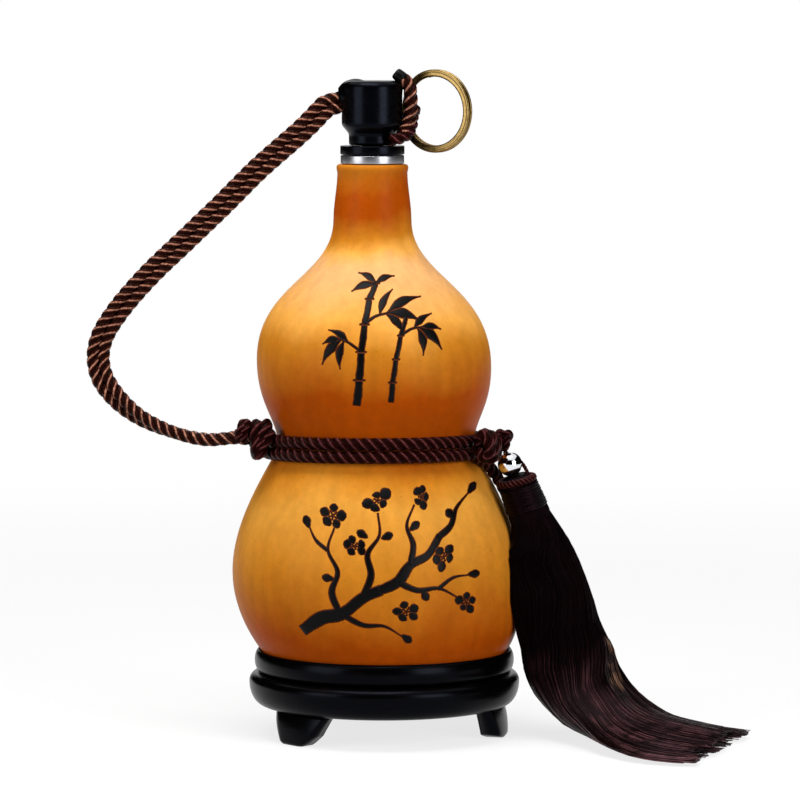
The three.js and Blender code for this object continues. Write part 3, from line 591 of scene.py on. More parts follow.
def satin_cord(name, gleam):
    """Strands of satin yarn. u of the UV map runs round a strand, and v along it in metres."""
    look = bpy.context.scene.cord_look
    made, tree = new_material(name)
    uv = node(tree, "ShaderNodeUVMap", uv_map="UVMap")
    split = node(tree, "ShaderNodeSeparateXYZ", {0: uv})
    turn = node(tree, "ShaderNodeMath", {0: split, 1: 2 * math.pi}, operation="MULTIPLY")
    crest = node(tree, "ShaderNodeMath", {0: turn}, operation="COSINE")
    # Yarns twisted against the lay, ten round a strand, that rise and fall once in 2.4 mm.
    yarns = node(tree, "ShaderNodeMath", {0: split, 1: 10 * 2 * math.pi}, operation="MULTIPLY")
    along = node(
        tree, "ShaderNodeMath", {0: split.outputs[1], 1: 2 * math.pi / (2.4 * MM)},
        operation="MULTIPLY",
    )
    both = node(tree, "ShaderNodeMath", {0: yarns, 1: along}, operation="SUBTRACT")
    ridge = node(tree, "ShaderNodeMath", {0: both}, operation="SINE")
    where = node(tree, "ShaderNodeTexCoord").outputs["Object"]
    fibre = node(tree, "ShaderNodeTexNoise", {"Vector": where, "Scale": 900, "Detail": 3})
    height = node(tree, "ShaderNodeMath", {0: ridge, 1: 0.5, 2: fibre}, operation="MULTIPLY_ADD")
    bump = node(tree, "ShaderNodeBump", {"Strength": 0.45, "Distance": 0.00012, "Height": height})
    # A highlight is painted into the colour on a thin line of each strand's crest, where light from
    # above would meet it, broken by the fibres. Shade is painted in the valleys between the
    # strands.
    line = node(tree, "ShaderNodeMath", {0: fibre, 1: 0.14, 2: crest}, operation="MULTIPLY_ADD")
    share = node(tree, "ShaderNodeMapRange", {"Value": line, "From Min": -0.9, "From Max": 1.1})
    tone = node(
        tree, "ShaderNodeValToRGB",
        {0: share},
        stops=[
            (0.0, tuple(look.painted_valley_shade)), (1.0, tuple(gleam)), (0.45, tuple(look.painted_valley_shade)),
            (0.85, tuple(look.crest)), (0.958, tuple(look.crest)),
        ],
    )
    shade(
        tree, Base_Color=tone, Roughness=0.34, Specular_IOR_Level=0.1, Specular_Tint=tuple(gleam),
        Normal=bump,
    )
    return made


def skin_material():
    """Dried gourd rind under satin varnish: golden and mottled, with painted shade and its own
    deeper tone low on the belly, round the waist, low on the head and on the neck, and painted
    light and a painted highlight on the top of the belly and the shoulders.
    """
    look = bpy.context.scene.gourd_look
    made, tree = new_material("varnished gourd rind")
    where = node(tree, "ShaderNodeTexCoord").outputs["Object"]
    split = node(tree, "ShaderNodeSeparateXYZ", {0: where})
    soft = node(tree, "ShaderNodeTexNoise", {"Vector": where, "Scale": 28, "Detail": 4})
    sway = node(tree, "ShaderNodeMath", {0: soft, 1: 0.03, 2: -0.015}, operation="MULTIPLY_ADD")
    raised = node(tree, "ShaderNodeMath", {0: split.outputs[2], 1: sway}, operation="ADD")
    height = node(
        tree, "ShaderNodeMapRange", {"Value": raised, "From Min": 0.016, "From Max": 0.24},
    )
    deep, golden, warm = tuple(look.deep_skin_and_painted_shade), tuple(look.golden_skin), tuple(look.painted_lit_belly_skin)
    light, pale = tuple(look.painted_lit_skin), tuple(look.painted_highlight_skin)
    # Colour from the foot at 0 to the mouth at 1: the rind's golden tone, with painted shade and
    # the rind's deeper tone at the foot, the waist, the lower head and the neck, painted light on
    # the top of the belly and the shoulders, and a painted highlight on top of the shoulders. The
    # waist is at 0.47.
    tone_and_painted_light_by_height = node(
        tree, "ShaderNodeValToRGB",
        {0: height},
        stops=[
            (0.0, deep), (1.0, golden), (0.12, deep), (0.25, golden), (0.37, warm), (0.43, golden),
            (0.49, deep), (0.57, deep), (0.66, golden), (0.71, light), (0.8, pale), (0.822, pale),
            (0.845, light), (0.87, golden), (0.91, deep), (0.94, deep),
        ],
    )
    # Mottling of 2 to 6 mm and dark pores of about 0.5 mm
    mottle = node(
        tree, "ShaderNodeTexNoise", {"Vector": where, "Scale": 260, "Detail": 5, "Roughness": 0.62},
    )
    mottled = node(
        tree, "ShaderNodeMapRange",
        {"Value": mottle, "From Min": 0.3, "From Max": 0.75, "To Min": 1.06, "To Max": 0.9},
    )
    stretch = node(tree, "ShaderNodeMapping", {"Vector": where, "Scale": (1, 1, 0.12)})
    streak = node(tree, "ShaderNodeTexNoise", {"Vector": stretch, "Scale": 160, "Detail": 2})
    streaked = node(
        tree, "ShaderNodeMapRange",
        {"Value": streak, "From Min": 0.35, "From Max": 0.7, "To Min": 1.05, "To Max": 0.92},
    )
    pores = node(tree, "ShaderNodeTexVoronoi", {"Vector": where, "Scale": 330})
    pore = node(
        tree, "ShaderNodeMapRange",
        {
            "Value": pores.outputs["Distance"], "From Min": 0.05, "From Max": 0.14, "To Min": 0.78,
            "To Max": 1.0,
        },
    )
    first = node(tree, "ShaderNodeMath", {0: mottled, 1: streaked}, operation="MULTIPLY")
    second = node(tree, "ShaderNodeMath", {0: first, 1: pore}, operation="MULTIPLY")
    dyed = node(tree, "ShaderNodeVectorMath", {0: tone_and_painted_light_by_height, 3: second}, operation="SCALE")
    ripple = node(tree, "ShaderNodeTexNoise", {"Vector": where, "Scale": 60, "Detail": 3})
    bump = node(tree, "ShaderNodeBump", {"Strength": 0.25, "Distance": 0.0006, "Height": ripple})
    fine = node(
        tree, "ShaderNodeBump",
        {"Strength": 0.2, "Distance": 0.0001, "Height": mottle, "Normal": bump},
    )
    shade(tree, Base_Color=dyed, Roughness=0.4, Specular_IOR_Level=0.03, Normal=fine)
    return made


def burnt_material(name, shade_colour, roughness):
    """Burnt strokes: charred rind with a satin varnish over it."""
    made, tree = new_material(name)
    where = node(tree, "ShaderNodeTexCoord").outputs["Object"]
    grain = node(tree, "ShaderNodeTexNoise", {"Vector": where, "Scale": 700, "Detail": 4})
    bump = node(tree, "ShaderNodeBump", {"Strength": 0.5, "Distance": 0.00012, "Height": grain})
    lift = node(
        tree, "ShaderNodeMapRange",
        {"Value": grain, "From Min": 0.3, "From Max": 0.7, "To Min": 0.6, "To Max": 1.5},
    )
    tone = node(tree, "ShaderNodeVectorMath", {0: shade_colour[:3], 3: lift}, operation="SCALE")
    shade(tree, Base_Color=tone, Roughness=roughness, Specular_IOR_Level=0.08, Normal=bump)
    return made


def black_gloss_material():
    """Turned black acrylic: deep gloss with faint turning marks."""
    made, tree = new_material("turned black acrylic")
    where = node(tree, "ShaderNodeTexCoord").outputs["Object"]
    level = node(tree, "ShaderNodeMapping", {"Vector": where, "Scale": (1, 1, 90)})
    marks = node(tree, "ShaderNodeTexNoise", {"Vector": level, "Scale": 30, "Detail": 3})
    bump = node(tree, "ShaderNodeBump", {"Strength": 0.12, "Distance": 0.0001, "Height": marks})
    dust = node(tree, "ShaderNodeTexNoise", {"Vector": where, "Scale": 420, "Detail": 4})
    rough = node(
        tree, "ShaderNodeMapRange",
        {"Value": dust, "From Min": 0.3, "From Max": 0.8, "To Min": 0.2, "To Max": 0.34},
    )
    shade(
        tree, Base_Color=colour("020203"), Roughness=rough, Specular_IOR_Level=0.09,
        Specular_Tint=colour("B9C4E8"), Normal=bump,
    )
    return made


def lacquer_material():
    """Black lacquer over turned wood: gloss, slightly uneven, brown where it is thin."""
    look = bpy.context.scene.stand_look
    made, tree = new_material("black lacquered wood")
    where = node(tree, "ShaderNodeTexCoord").outputs["Object"]
    stretch = node(tree, "ShaderNodeMapping", {"Vector": where, "Scale": (1, 1, 6)})
    grain = node(tree, "ShaderNodeTexNoise", {"Vector": stretch, "Scale": 90, "Detail": 5})
    thin = node(
        tree, "ShaderNodeMapRange",
        {"Value": grain, "From Min": 0.55, "From Max": 0.85, "To Min": 0, "To Max": 0.5},
    )
    mixed = node(
        tree, "ShaderNodeMix", {"Factor": thin, 6: tuple(look.lacquer), 7: tuple(look.worn)},
        data_type="RGBA",
    )
    bump = node(tree, "ShaderNodeBump", {"Strength": 0.25, "Distance": 0.0003, "Height": grain})
    shade(
        tree, Base_Color=mixed.outputs[2], Roughness=0.26, Specular_IOR_Level=0.07,
        Specular_Tint=colour("C2C8E6"), Normal=bump,
    )
    return made


def metal_material(name, tone, roughness, marks=0.1, dirt=None):
    """Turned or drawn metal: fine marks in its polish, and dirt where it is given."""
    made, tree = new_material(name)
    where = node(tree, "ShaderNodeTexCoord").outputs["Object"]
    stretch = node(tree, "ShaderNodeMapping", {"Vector": where, "Scale": (1, 1, 25)})
    fine = node(tree, "ShaderNodeTexNoise", {"Vector": stretch, "Scale": 180, "Detail": 3})
    rough = node(
        tree, "ShaderNodeMapRange",
        {"Value": fine, "To Min": roughness * 0.75, "To Max": roughness * 1.3},
    )
    bump = node(tree, "ShaderNodeBump", {"Strength": marks, "Distance": 0.00008, "Height": fine})
    inputs = {"Roughness": rough, "Normal": bump, "Metallic": 1.0}
    if dirt:
        spots = node(tree, "ShaderNodeTexNoise", {"Vector": where, "Scale": 320, "Detail": 5})
        share = node(
            tree, "ShaderNodeMapRange", {"Value": spots, "From Min": 0.45, "From Max": 0.7},
        )
        mixed = node(
            tree, "ShaderNodeMix", {"Factor": share, 6: colour(tone), 7: colour(dirt)},
            data_type="RGBA",
        )
        inputs["Base_Color"] = mixed.outputs[2]
    else:
        inputs["Base_Color"] = colour(tone)
    shade(tree, **inputs)
    return made


def thread_material():
    """Rayon tassel thread: nearly black, with a painted highlight: some threads are coloured brown
    where light would graze them, most of all in the tail.
    """
    look = bpy.context.scene.tassel_look
    made, tree = new_material("rayon tassel thread")
    own = node(tree, "ShaderNodeAttribute", attribute_name="tint")
    where = node(tree, "ShaderNodeTexCoord").outputs["Object"]
    noise = node(tree, "ShaderNodeTexNoise", {"Vector": where, "Scale": 140, "Detail": 3})
    # The tail on the table faces the overhead light, so more of its threads get the painted brown
    # highlight, and it has more gloss.
    split = node(tree, "ShaderNodeSeparateXYZ", {0: where})
    tail = node(
        tree, "ShaderNodeMapRange",
        {
            "Value": split.outputs[2], "From Min": 0.04, "From Max": 0.012, "To Min": 0.03,
            "To Max": 1.0,
        },
    )
    gloss = node(tree, "ShaderNodeMapRange", {"Value": tail, "To Min": 0.07, "To Max": 0.26})
    patchy = node(tree, "ShaderNodeMapRange", {"Value": noise, "From Min": 0.35, "From Max": 0.65})
    seldom = node(
        tree, "ShaderNodeMapRange", {
            "Value": own.outputs["Fac"], "From Min": 0.45, "From Max": 1.0
        },
    )
    both = node(tree, "ShaderNodeMath", {0: seldom, 1: patchy}, operation="MULTIPLY")
    share = node(tree, "ShaderNodeMath", {0: both, 1: tail}, operation="MULTIPLY")
    mixed = node(
        tree, "ShaderNodeMix", {"Factor": share, 6: tuple(look.dark), 7: tuple(look.brown)},
        data_type="RGBA",
    )
    shade(
        tree, Base_Color=mixed.outputs[2], Roughness=0.36, Specular_IOR_Level=gloss,
        Specular_Tint=colour("C98F9A"),
    )
    return made


def winding_material():
    """Rayon winding of the tassel's head: tighter than the skirt, so it gleams purple."""
    made, tree = new_material("rayon winding")
    where = node(tree, "ShaderNodeTexCoord").outputs["Object"]
    grain = node(tree, "ShaderNodeTexNoise", {"Vector": where, "Scale": 800, "Detail": 3})
    tone = node(
        tree, "ShaderNodeValToRGB", {0: grain},
        stops=[(0.3, colour("020101")), (0.75, colour("070305"))],
    )
    bump = node(tree, "ShaderNodeBump", {"Strength": 0.4, "Distance": 0.0001, "Height": grain})
    shade(
        tree, Base_Color=tone, Roughness=0.28, Specular_IOR_Level=0.11,
        Specular_Tint=colour("C27F92"), Normal=bump,
    )
    return made


def stray_material():
    """Single rayon threads with light coming through them, tan instead of black."""
    made, tree = new_material("single rayon thread")
    where = node(tree, "ShaderNodeTexCoord").outputs["Object"]
    patch = node(tree, "ShaderNodeTexNoise", {"Vector": where, "Scale": 90, "Detail": 2})
    tone = node(
        tree, "ShaderNodeValToRGB", {0: patch},
        stops=[(0.45, colour("1A0D0C")), (0.7, colour("8C6650"))],
    )
    shade(tree, Base_Color=tone, Roughness=0.4, Specular_IOR_Level=0.3)
    return made


def plain_material(name, code, roughness, specular=0.3, grain_scale=500):
    """Moulded or pressed material with a fine grain."""
    made, tree = new_material(name)
    where = node(tree, "ShaderNodeTexCoord").outputs["Object"]
    grain = node(tree, "ShaderNodeTexNoise", {"Vector": where, "Scale": grain_scale, "Detail": 3})
    rough = node(
        tree, "ShaderNodeMapRange",
        {"Value": grain, "To Min": roughness * 0.8, "To Max": roughness * 1.2},
    )
    bump = node(tree, "ShaderNodeBump", {"Strength": 0.2, "Distance": 0.0001, "Height": grain})
    shade(tree, Base_Color=colour(code), Roughness=rough, Specular_IOR_Level=specular, Normal=bump)
    return made


# Operators


class GOURD_OT_stage(bpy.types.Operator):
    """Camera, floor, room and lamps"""

    bl_idname = "wine_gourd.stage"
    bl_label = "Stage"

    def execute(self, context):
        look = context.scene.stage_look
        camera = bpy.data.objects.new("camera", bpy.data.cameras.new("camera"))
        context.scene.collection.objects.link(camera)
        camera.location = CAMERA_PLACE
        aim = Vector(CAMERA_TARGET) - camera.location
        camera.rotation_euler = aim.to_track_quat("-Z", "Y").to_euler()
        camera.data.sensor_width = SENSOR_WIDTH
        camera.data.lens = SENSOR_WIDTH * -CAMERA_PLACE[1] / FRAME_WIDTH * SLANT
        camera.data.clip_end = 60
        context.scene.camera = camera
        context.scene.view_settings.view_transform = "Standard"
        self.room(context, look.ambient)
        self.floor(context)
        lit = Vector((0.0, 0.0, 0.14))
        # Name, place, width, height and power of each box
        lamps = [
            ("overhead box", (-0.12, -0.24, 1.2), 0.8, 0.5, look.overhead),
            ("left box", (-1.02, -0.72, 0.42), 0.7, 0.8, look.left),
            ("right box", (0.84, -0.95, 0.42), 0.62, 0.8, look.right),
        ]
        for name, spot, width, tall, power in lamps:
            lamp = bpy.data.lights.new(name, "AREA")
            lamp.shape = "RECTANGLE"
            lamp.size, lamp.size_y, lamp.energy = width, tall, power
            made = bpy.data.objects.new(name, lamp)
            made.location = spot
            made.rotation_euler = (lit - Vector(spot)).to_track_quat("-Z", "Y").to_euler()
            made.visible_camera = False
            context.scene.collection.objects.link(made)
        self.flags(context)
        return {"FINISHED"}

    def flags(self, context):
        """Black cloths round the set, open behind the gourd, that only show in reflections."""
        made, tree = new_material("black cloth")
        dark = node(tree, "ShaderNodeBsdfDiffuse", {"Color": (0.01, 0.01, 0.01, 1)})
        node(tree, "ShaderNodeOutputMaterial", {"Surface": dark})
        corners = [(-0.6, 2.2), (-2.4, 2.2), (-2.4, -2.8), (2.4, -2.8), (2.4, 2.2), (0.6, 2.2)]
        points = [(x, y, z) for x, y in corners for z in (0.01, 2.6)]
        mesh = bpy.data.meshes.new("flags")
        mesh.from_pydata(points, [], [(i, i + 2, i + 3, i + 1) for i in range(0, 10, 2)])
        mesh.materials.append(made)
        cloths = bpy.data.objects.new("flags", mesh)
        context.scene.collection.objects.link(cloths)
        cloths.visible_camera = cloths.visible_diffuse = cloths.visible_shadow = False
        cloths.visible_transmission = cloths.visible_volume_scatter = False

    def shown(self, tree):
        """1 where the camera sees something directly, in a reflection or through glass."""
        path = node(tree, "ShaderNodeLightPath")
        direct, glossy = path.outputs["Is Camera Ray"], path.outputs["Is Glossy Ray"]
        seen = node(tree, "ShaderNodeMath", {0: direct, 1: glossy}, operation="ADD")
        through = path.outputs["Is Transmission Ray"]
        return node(tree, "ShaderNodeMath", {0: seen, 1: through}, operation="ADD", use_clamp=True)

    def room(self, context, ambient):
        """White behind the gourd and in reflections, and dim light from all sides."""
        world = bpy.data.worlds.new("room")
        context.scene.world = world
        world.use_nodes = True
        tree = world.node_tree
        tree.nodes.clear()
        shown = self.shown(tree)
        level = node(tree, "ShaderNodeMapRange", {"Value": shown, "To Min": ambient, "To Max": 1.0})
        back = node(tree, "ShaderNodeBackground", {"Color": (1, 1, 1, 1), "Strength": level})
        node(tree, "ShaderNodeOutputWorld", {"Surface": back})

    def floor(self, context):
        """Pale table that keeps the soft shadow and is white everywhere else."""
        made, tree = new_material("pale table")
        where = node(tree, "ShaderNodeTexCoord").outputs["Object"]
        away = node(tree, "ShaderNodeVectorMath", {0: where}, operation="LENGTH")
        far = node(
            tree, "ShaderNodeMapRange",
            {"Value": away.outputs["Value"], "From Min": 0.3, "From Max": 1.1},
            interpolation_type="SMOOTHSTEP",
        )
        shown = self.shown(tree)
        matt = node(tree, "ShaderNodeBsdfDiffuse", {"Color": (0.25, 0.25, 0.25, 1)})
        glow = node(tree, "ShaderNodeEmission", {"Color": (1, 1, 1, 1), "Strength": 0.77})
        glow_seen = node(tree, "ShaderNodeMixShader", {0: shown, 2: glow})
        near = node(tree, "ShaderNodeAddShader", {0: matt, 1: glow_seen})
        white = node(tree, "ShaderNodeEmission", {"Color": (1, 1, 1, 1), "Strength": 1.0})
        white_seen = node(tree, "ShaderNodeMixShader", {0: shown, 1: matt, 2: white})
        mixed = node(tree, "ShaderNodeMixShader", {0: far, 1: near, 2: white_seen})
        node(tree, "ShaderNodeOutputMaterial", {"Surface": mixed})
        mesh = bpy.data.meshes.new("table")
        mesh.from_pydata(
            [(-30, -30, 0), (30, -30, 0), (30, 30, 0), (-30, 30, 0)], [], [(0, 1, 2, 3)],
        )
        mesh.materials.append(made)
        table = bpy.data.objects.new("table", mesh)
        context.scene.collection.objects.link(table)


class GOURD_OT_strap(bpy.types.Operator):
    """The two twisted cords from the stopper's ear to the left knot"""

    bl_idname = "wine_gourd.strap"
    bl_label = "Strap"

    def execute(self, context):
        look = context.scene.cord_look
        knot = middle_of("knot_left")
        knot.z = STRAP_KNOT_HEIGHT * MM
        end = knot / MM + Vector((-7.3, 1, 0))
        route = [Vector(p) for p in STRAP_ROUTE] + [end]
        lays = []
        for i in range(len(route)):
            along = (route[min(i + 1, len(route) - 1)] - route[max(i - 1, 0)]).normalized()
            aside = Vector((0, 1, 0)).cross(along).normalized()
            turn = smoothstep(i / (len(route) - 1), 0.64, 0.92) * math.pi / 2
            lays.append(Quaternion(along, turn) @ aside)
        spread = 0.45 * CORD_DIAMETER
        cords = {"strap_cord_outer": spread, "strap_cord_inner": -spread}
        hole = MOUTH + Vector((0, 0, HOLE_HEIGHT))
        for name, offset in cords.items():
            points = [(p + lay * offset) * MM for p, lay in zip(route, lays)]
            # From inside the cross hole, and on into the knot
            inside = [
                hole + Vector((x, 0, 0.92 * offset - z))
                for x, z in ((-8, 0), (-11.5, 0.1), (-14.6, 0.7))
            ]
            points = [p * MM for p in inside] + points + [
                knot + Vector((-2, 0, 0.6 * offset / spread)) * MM,
            ]
            line = catmull_rom(points, 0.8 * MM)
            exit_point = line[0].copy()
            skins = rope(line, look.diameter * 1.06, look.lay)
            made = piece(name.replace("cord", "rope"), skins, material_for(cord_material))
            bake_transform(made)
            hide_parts(name)
        return {"FINISHED"}


class GOURD_OT_stopper_cords(bpy.types.Operator):
    """The hitch that holds the split ring, and the cord's turned up end"""

    bl_idname = "wine_gourd.stopper_cords"
    bl_label = "Stopper cords"

    def execute(self, context):
        look = context.scene.cord_look
        low, hole = HITCH_HEIGHT, HOLE_HEIGHT
        hitch = [
            (12.65 * math.cos(math.radians(a)), 12.65 * math.sin(math.radians(a)), low)
            for a in (130, 112, 92)
        ]
        hitch += [
            (5.6, 14, low + 2.2), (10, 15.5, low + 7.2), (13.7, 15.4, low + 10.8),
            (17, 12.9, low + 11.8), (17.7, 8.4, low + 11.6), (17.2, 4.8, low + 10.4),
            (16.7, 1.4, low + 7.8), (16.2, -1.8, low + 4.6), (14.4, -5, low + 1.8),
            (11.8, -7.6, low + 0.5), (9.4, -9.4, low - 0.1), (7.0, -10.2, low - 0.1),
        ]
        line = catmull_rom([(MOUTH + Vector(p)) * MM for p in hitch], 0.7 * MM)
        tie(
            "ring_hitch_rope", rope(line, look.diameter, look.lay), shaded_cord_material, "stopper",
            "cord_fibre", "ring_hitch_cord"
        )
        tail = [
            (12.4, -5.4, low + 1.6), (14.2, -3.4, low + 4.4), (15.4, -2.6, low + 8.5),
            (15.9, -2.3, low + 12), (16.0, -2.3, hole + 0.5), (15.8, -2.1, hole + 4.2),
            (14.9, -1.8, hole + 7.2), (12.8, -1.6, hole + 9.2),
        ]
        line = catmull_rom([(MOUTH + Vector(p)) * MM for p in tail], 0.6 * MM)
        tie(
            "tail_rope", rope(line, look.diameter * 1.16, look.lay, phase=1.0), cord_material,
            "stopper", "cord_fibre", "cord_tail"
        )
        profile = [(0, 0), (2.62, 0), (2.7, 1.0), (2.6, 2.8), (2.4, 3.9), (1.8, 4.4), (0, 4.5)]
        points, faces, corners = turned(rounded(profile, 0.5), 40)
        turn = Vector((0, 0, 1)).rotation_difference((line[-1] - line[-3]).normalized())
        points = [line[-1] + turn @ p for p in points]
        melted = plain_material("melted cord end", "050406", 0.35, 0.12, 900)
        made = piece("sealed_tip", [(points, faces, corners)], melted)
        place(made, "stopper", "sealed_end", "cord_tip")
        return {"FINISHED"}


class GOURD_OT_binding(bpy.types.Operator):
    """The cord wound round the waist, with its knots"""

    bl_idname = "wine_gourd.binding"
    bl_label = "Binding and knots"

    def execute(self, context):
        look = context.scene.cord_look
        start, end, pitch = -77, 65, 5.45
        turns = 1 + (end - start) / 360
        line = []
        steps = 480
        for i in range(steps + 1):
            turn = turns * i / steps
            drop = smoothstep(turn, (end + 5 - start) / 360, 0.96)
            # Drawn up a little in front
            tilt = 1.9 * max(0.0, math.cos(math.radians(start + 360 * turn)))
            height = WAIST_HEIGHT + tilt + pitch * (0.5 - drop)
            seat = max(
                skin_radius(height - 1.5), skin_radius(height + 1.5),
            ) + 0.3 + CORD_DIAMETER / 2
            line.append(beside_gourd(start + 360 * turn, seat, height))
        line = resample(line, 0.8 * MM)
        tie(
            "waist_rope", rope(line, look.diameter * 1.07, look.lay), shaded_cord_material, "gourd",
            "cord_fibre", "waist_binding"
        )
        self.strap_knot()
        self.wrapped_knot(look)
        self.end_knot()
        self.cord_end_standing_for_shade(look)
        return {"FINISHED"}

    def strap_knot(self):
        """The knot that ends the strap: two small turns beside folds that meet in a point below."""
        middle = middle_of("knot_left")
        middle.z = (STRAP_KNOT_HEIGHT - 0.3) * MM
        turns = []
        for i in range(101):
            t = i / 100
            a = 2 * math.pi * 2.1 * t + math.pi
            p = Vector(
                (
                    -6.2 + 3.4 * t + 0.7 * math.sin(a), -3.2 * math.cos(a) - 0.6,
                    3.0 + 3.5 * math.sin(a),
                )
            )
            turns.append(middle + p * MM)
        skins = rope(resample(turns, 0.6 * MM), 3.8 * MM, 9 * MM)
        folds = []
        for i in range(141):
            t = i / 140
            a = 2 * math.pi * 2.75 * t + 2.2
            open_above = 0.12 + 0.88 * (0.5 + 0.5 * math.sin(a))
            p = Vector(
                (
                    1.6 + (11.4 * t - 3.8) * open_above, -3.3 * math.cos(a) - 0.8,
                    -0.3 + 6.3 * math.sin(a),
                )
            )
            folds.append(middle + p * MM)
        skins += rope(resample(folds, 0.7 * MM), 4.9 * MM, 16 * MM)
        made = piece("knot_left_rope", skins, material_for(shaded_cord_material))
        place(made, "gourd", "cord_fibre", "knot_left")

    def cord_end_standing_for_shade(self, look):
        """The binding's end, that hangs from the right knot between the belly and the tassel. It is
        thick and set out so that, as a dark piece, it also stands in for the shade there.
        """
        line = []
        for angle, height in ((64, 119), (74, 115.5), (82, 110), (86, 103), (87, 96), (88, 88)):
            line.append(beside_gourd(angle, skin_radius(height) + 3.5, height))
        line = catmull_rom(line, 0.8 * MM)
        tie("cord_end_standing_for_shade", rope(line, 5.2 * MM, look.lay), shaded_cord_material, "gourd", "cord_fibre")

    def wrapped_knot(self, look):
        """The right knot: its cord goes three times round the binding in slanting turns."""
        middle = middle_of("knot_right") + Vector((0, 0, 1.0 * MM))
        angle = math.radians(60)
        out = Vector((math.sin(angle), -math.cos(angle), 0))
        along = Vector((math.cos(angle), math.sin(angle), 0))
        up = Vector((0, 0, 1))
        turns, slant, size = 3.0, -0.3, 0.92
        deep, tall, wide = 3.4 * MM * size, 5.9 * MM * size, 9.2 * MM * size
        line = []
        steps = 150
        for i in range(steps + 1):
            t = i / steps
            around = 2 * math.pi * turns * t + math.pi
            bulge = 0.72 + 0.28 * math.sin(math.pi * t)
            rise = tall * bulge * math.sin(around)
            p = middle + out * (deep * bulge * math.cos(around)) + up * rise
            line.append(p + along * ((t - 0.5) * wide + slant * rise))
        line = resample(line, 0.8 * MM)
        tie(
            "knot_right_rope", rope(line, look.diameter, look.lay), shaded_cord_material, "gourd",
            "cord_fibre", "knot_right"
        )

    def end_knot(self):
        """A small knot of three loops."""
        middle = middle_of("end_knot")
        line = []
        for i in range(97):
            t = 2 * math.pi * i / 96
            x = math.sin(t) + 2 * math.sin(2 * t)
            z = math.cos(t) - 2 * math.cos(2 * t)
            line.append(
                middle + Vector((0.96 * x, 2.1 * math.sin(3 * t) - 0.1 * z, 1.3 * z + 0.25)) * MM,
            )
        line = resample(line, 0.5 * MM)
        tie(
            "end_knot_rope", rope(line, 2.9 * MM, 6 * MM), shaded_cord_material, "gourd", "cord_fibre",
            "end_knot"
        )


class GOURD_OT_shell(bpy.types.Operator):
    """The dried gourd, with its outer and inner wall"""

    bl_idname = "wine_gourd.shell"
    bl_label = "Gourd"

    def execute(self, context):
        inside = outline(
            GOURD_BOTTOM + GOURD_WALL, BELLY_RADIUS - GOURD_WALL, WAIST_RADIUS - GOURD_WALL,
            HEAD_RADIUS - GOURD_WALL, NECK_BORE_RADIUS, 16,
        )
        inside += [
            (NECK_BORE_RADIUS, NECK_HEIGHT), (NECK_BORE_RADIUS, MOUTH_HEIGHT - 0.3),
            (NECK_BORE_RADIUS + 0.3, MOUTH_HEIGHT),
        ]
        points, faces, corners = turned(OUTSIDE + inside[::-1], 144)
        points = [p + Vector((drift(p.z / MM) * MM, 0, 0)) for p in points]
        made = piece("gourd_rind", [(points, faces, corners)], material_for(skin_material))
        place(made, "gourd", "gourd_skin", "gourd_shell")
        return {"FINISHED"}


class GOURD_OT_brushwork(bpy.types.Operator):
    """Burnt brushwork on the front: a bamboo spray on the head and a plum branch on the belly"""

    bl_idname = "wine_gourd.brushwork"
    bl_label = "Brushwork"

    def execute(self, context):
        look = context.scene.gourd_look
        dark = burnt_material("charred rind", look.burnt_ink, 0.42)
        brown = burnt_material("scorched rind", look.scorched_rim, 0.5)
        designs = {"bamboo": bamboo(), "plum": plum()}
        places = {"bamboo": (1.6, 166.4), "plum": (6.0, 77.0)}
        for name, strokes in designs.items():
            black, rim = [], []
            for i, (line, widths) in enumerate(strokes):
                step = 0.004 * (i % 12)
                black.append(stroke(line, widths, places[name], 0.09 + step, 0.0))
                rim.append(stroke(line, widths, places[name], 0.03 + step / 3, 0.3))
            made = piece(name + "_strokes", black, dark)
            place(made, "gourd", "gourd_skin")
            made = piece(name + "_rims", rim, brown)
            place(made, "gourd", "gourd_skin")
        return {"FINISHED"}


def on_skin(x, z, away):
    """Point in metres, away millimetres from the skin that shows at x and z in a front view."""
    radius = skin_radius(z)
    slope = skin_radius(z + 0.5) - skin_radius(z - 0.5)
    a = math.asin(max(-0.98, min(0.98, (x - drift(z)) / radius)))
    out = Vector((math.sin(a), -math.cos(a), -slope)).normalized()
    return (Vector((drift(z) + radius * math.sin(a), -radius * math.cos(a), z)) + out * away) * MM


def stroke(line, widths, middle, lift, wider):
    """Brush stroke on the skin: a low domed ribbon whose underside lies in the rind."""
    flat = [Vector((p[0], p[1])) for p in line]
    rings = []
    last = len(flat) - 1
    for i, p in enumerate(flat):
        along = (flat[min(i + 1, last)] - flat[max(i - 1, 0)]).normalized()
        across = Vector((-along.y, along.x))
        half = widths[i] / 2 + wider
        shift = along * (wider * (-1 if i == 0 else 1 if i == last else 0))
        ring = []
        for share, rise in (
            (-1, -0.05), (-0.82, 0.6), (-0.35, 1), (0.35, 1), (0.82, 0.6), (1, -0.05),
        ):
            q = p + shift + across * (half * share)
            ring.append(on_skin(middle[0] + q.x, middle[1] + q.y, lift * rise))
        for share in (0.6, -0.6):
            q = p + shift + across * (half * share)
            ring.append(on_skin(middle[0] + q.x, middle[1] + q.y, -0.25))
        rings.append(ring)
    return loft(rings)


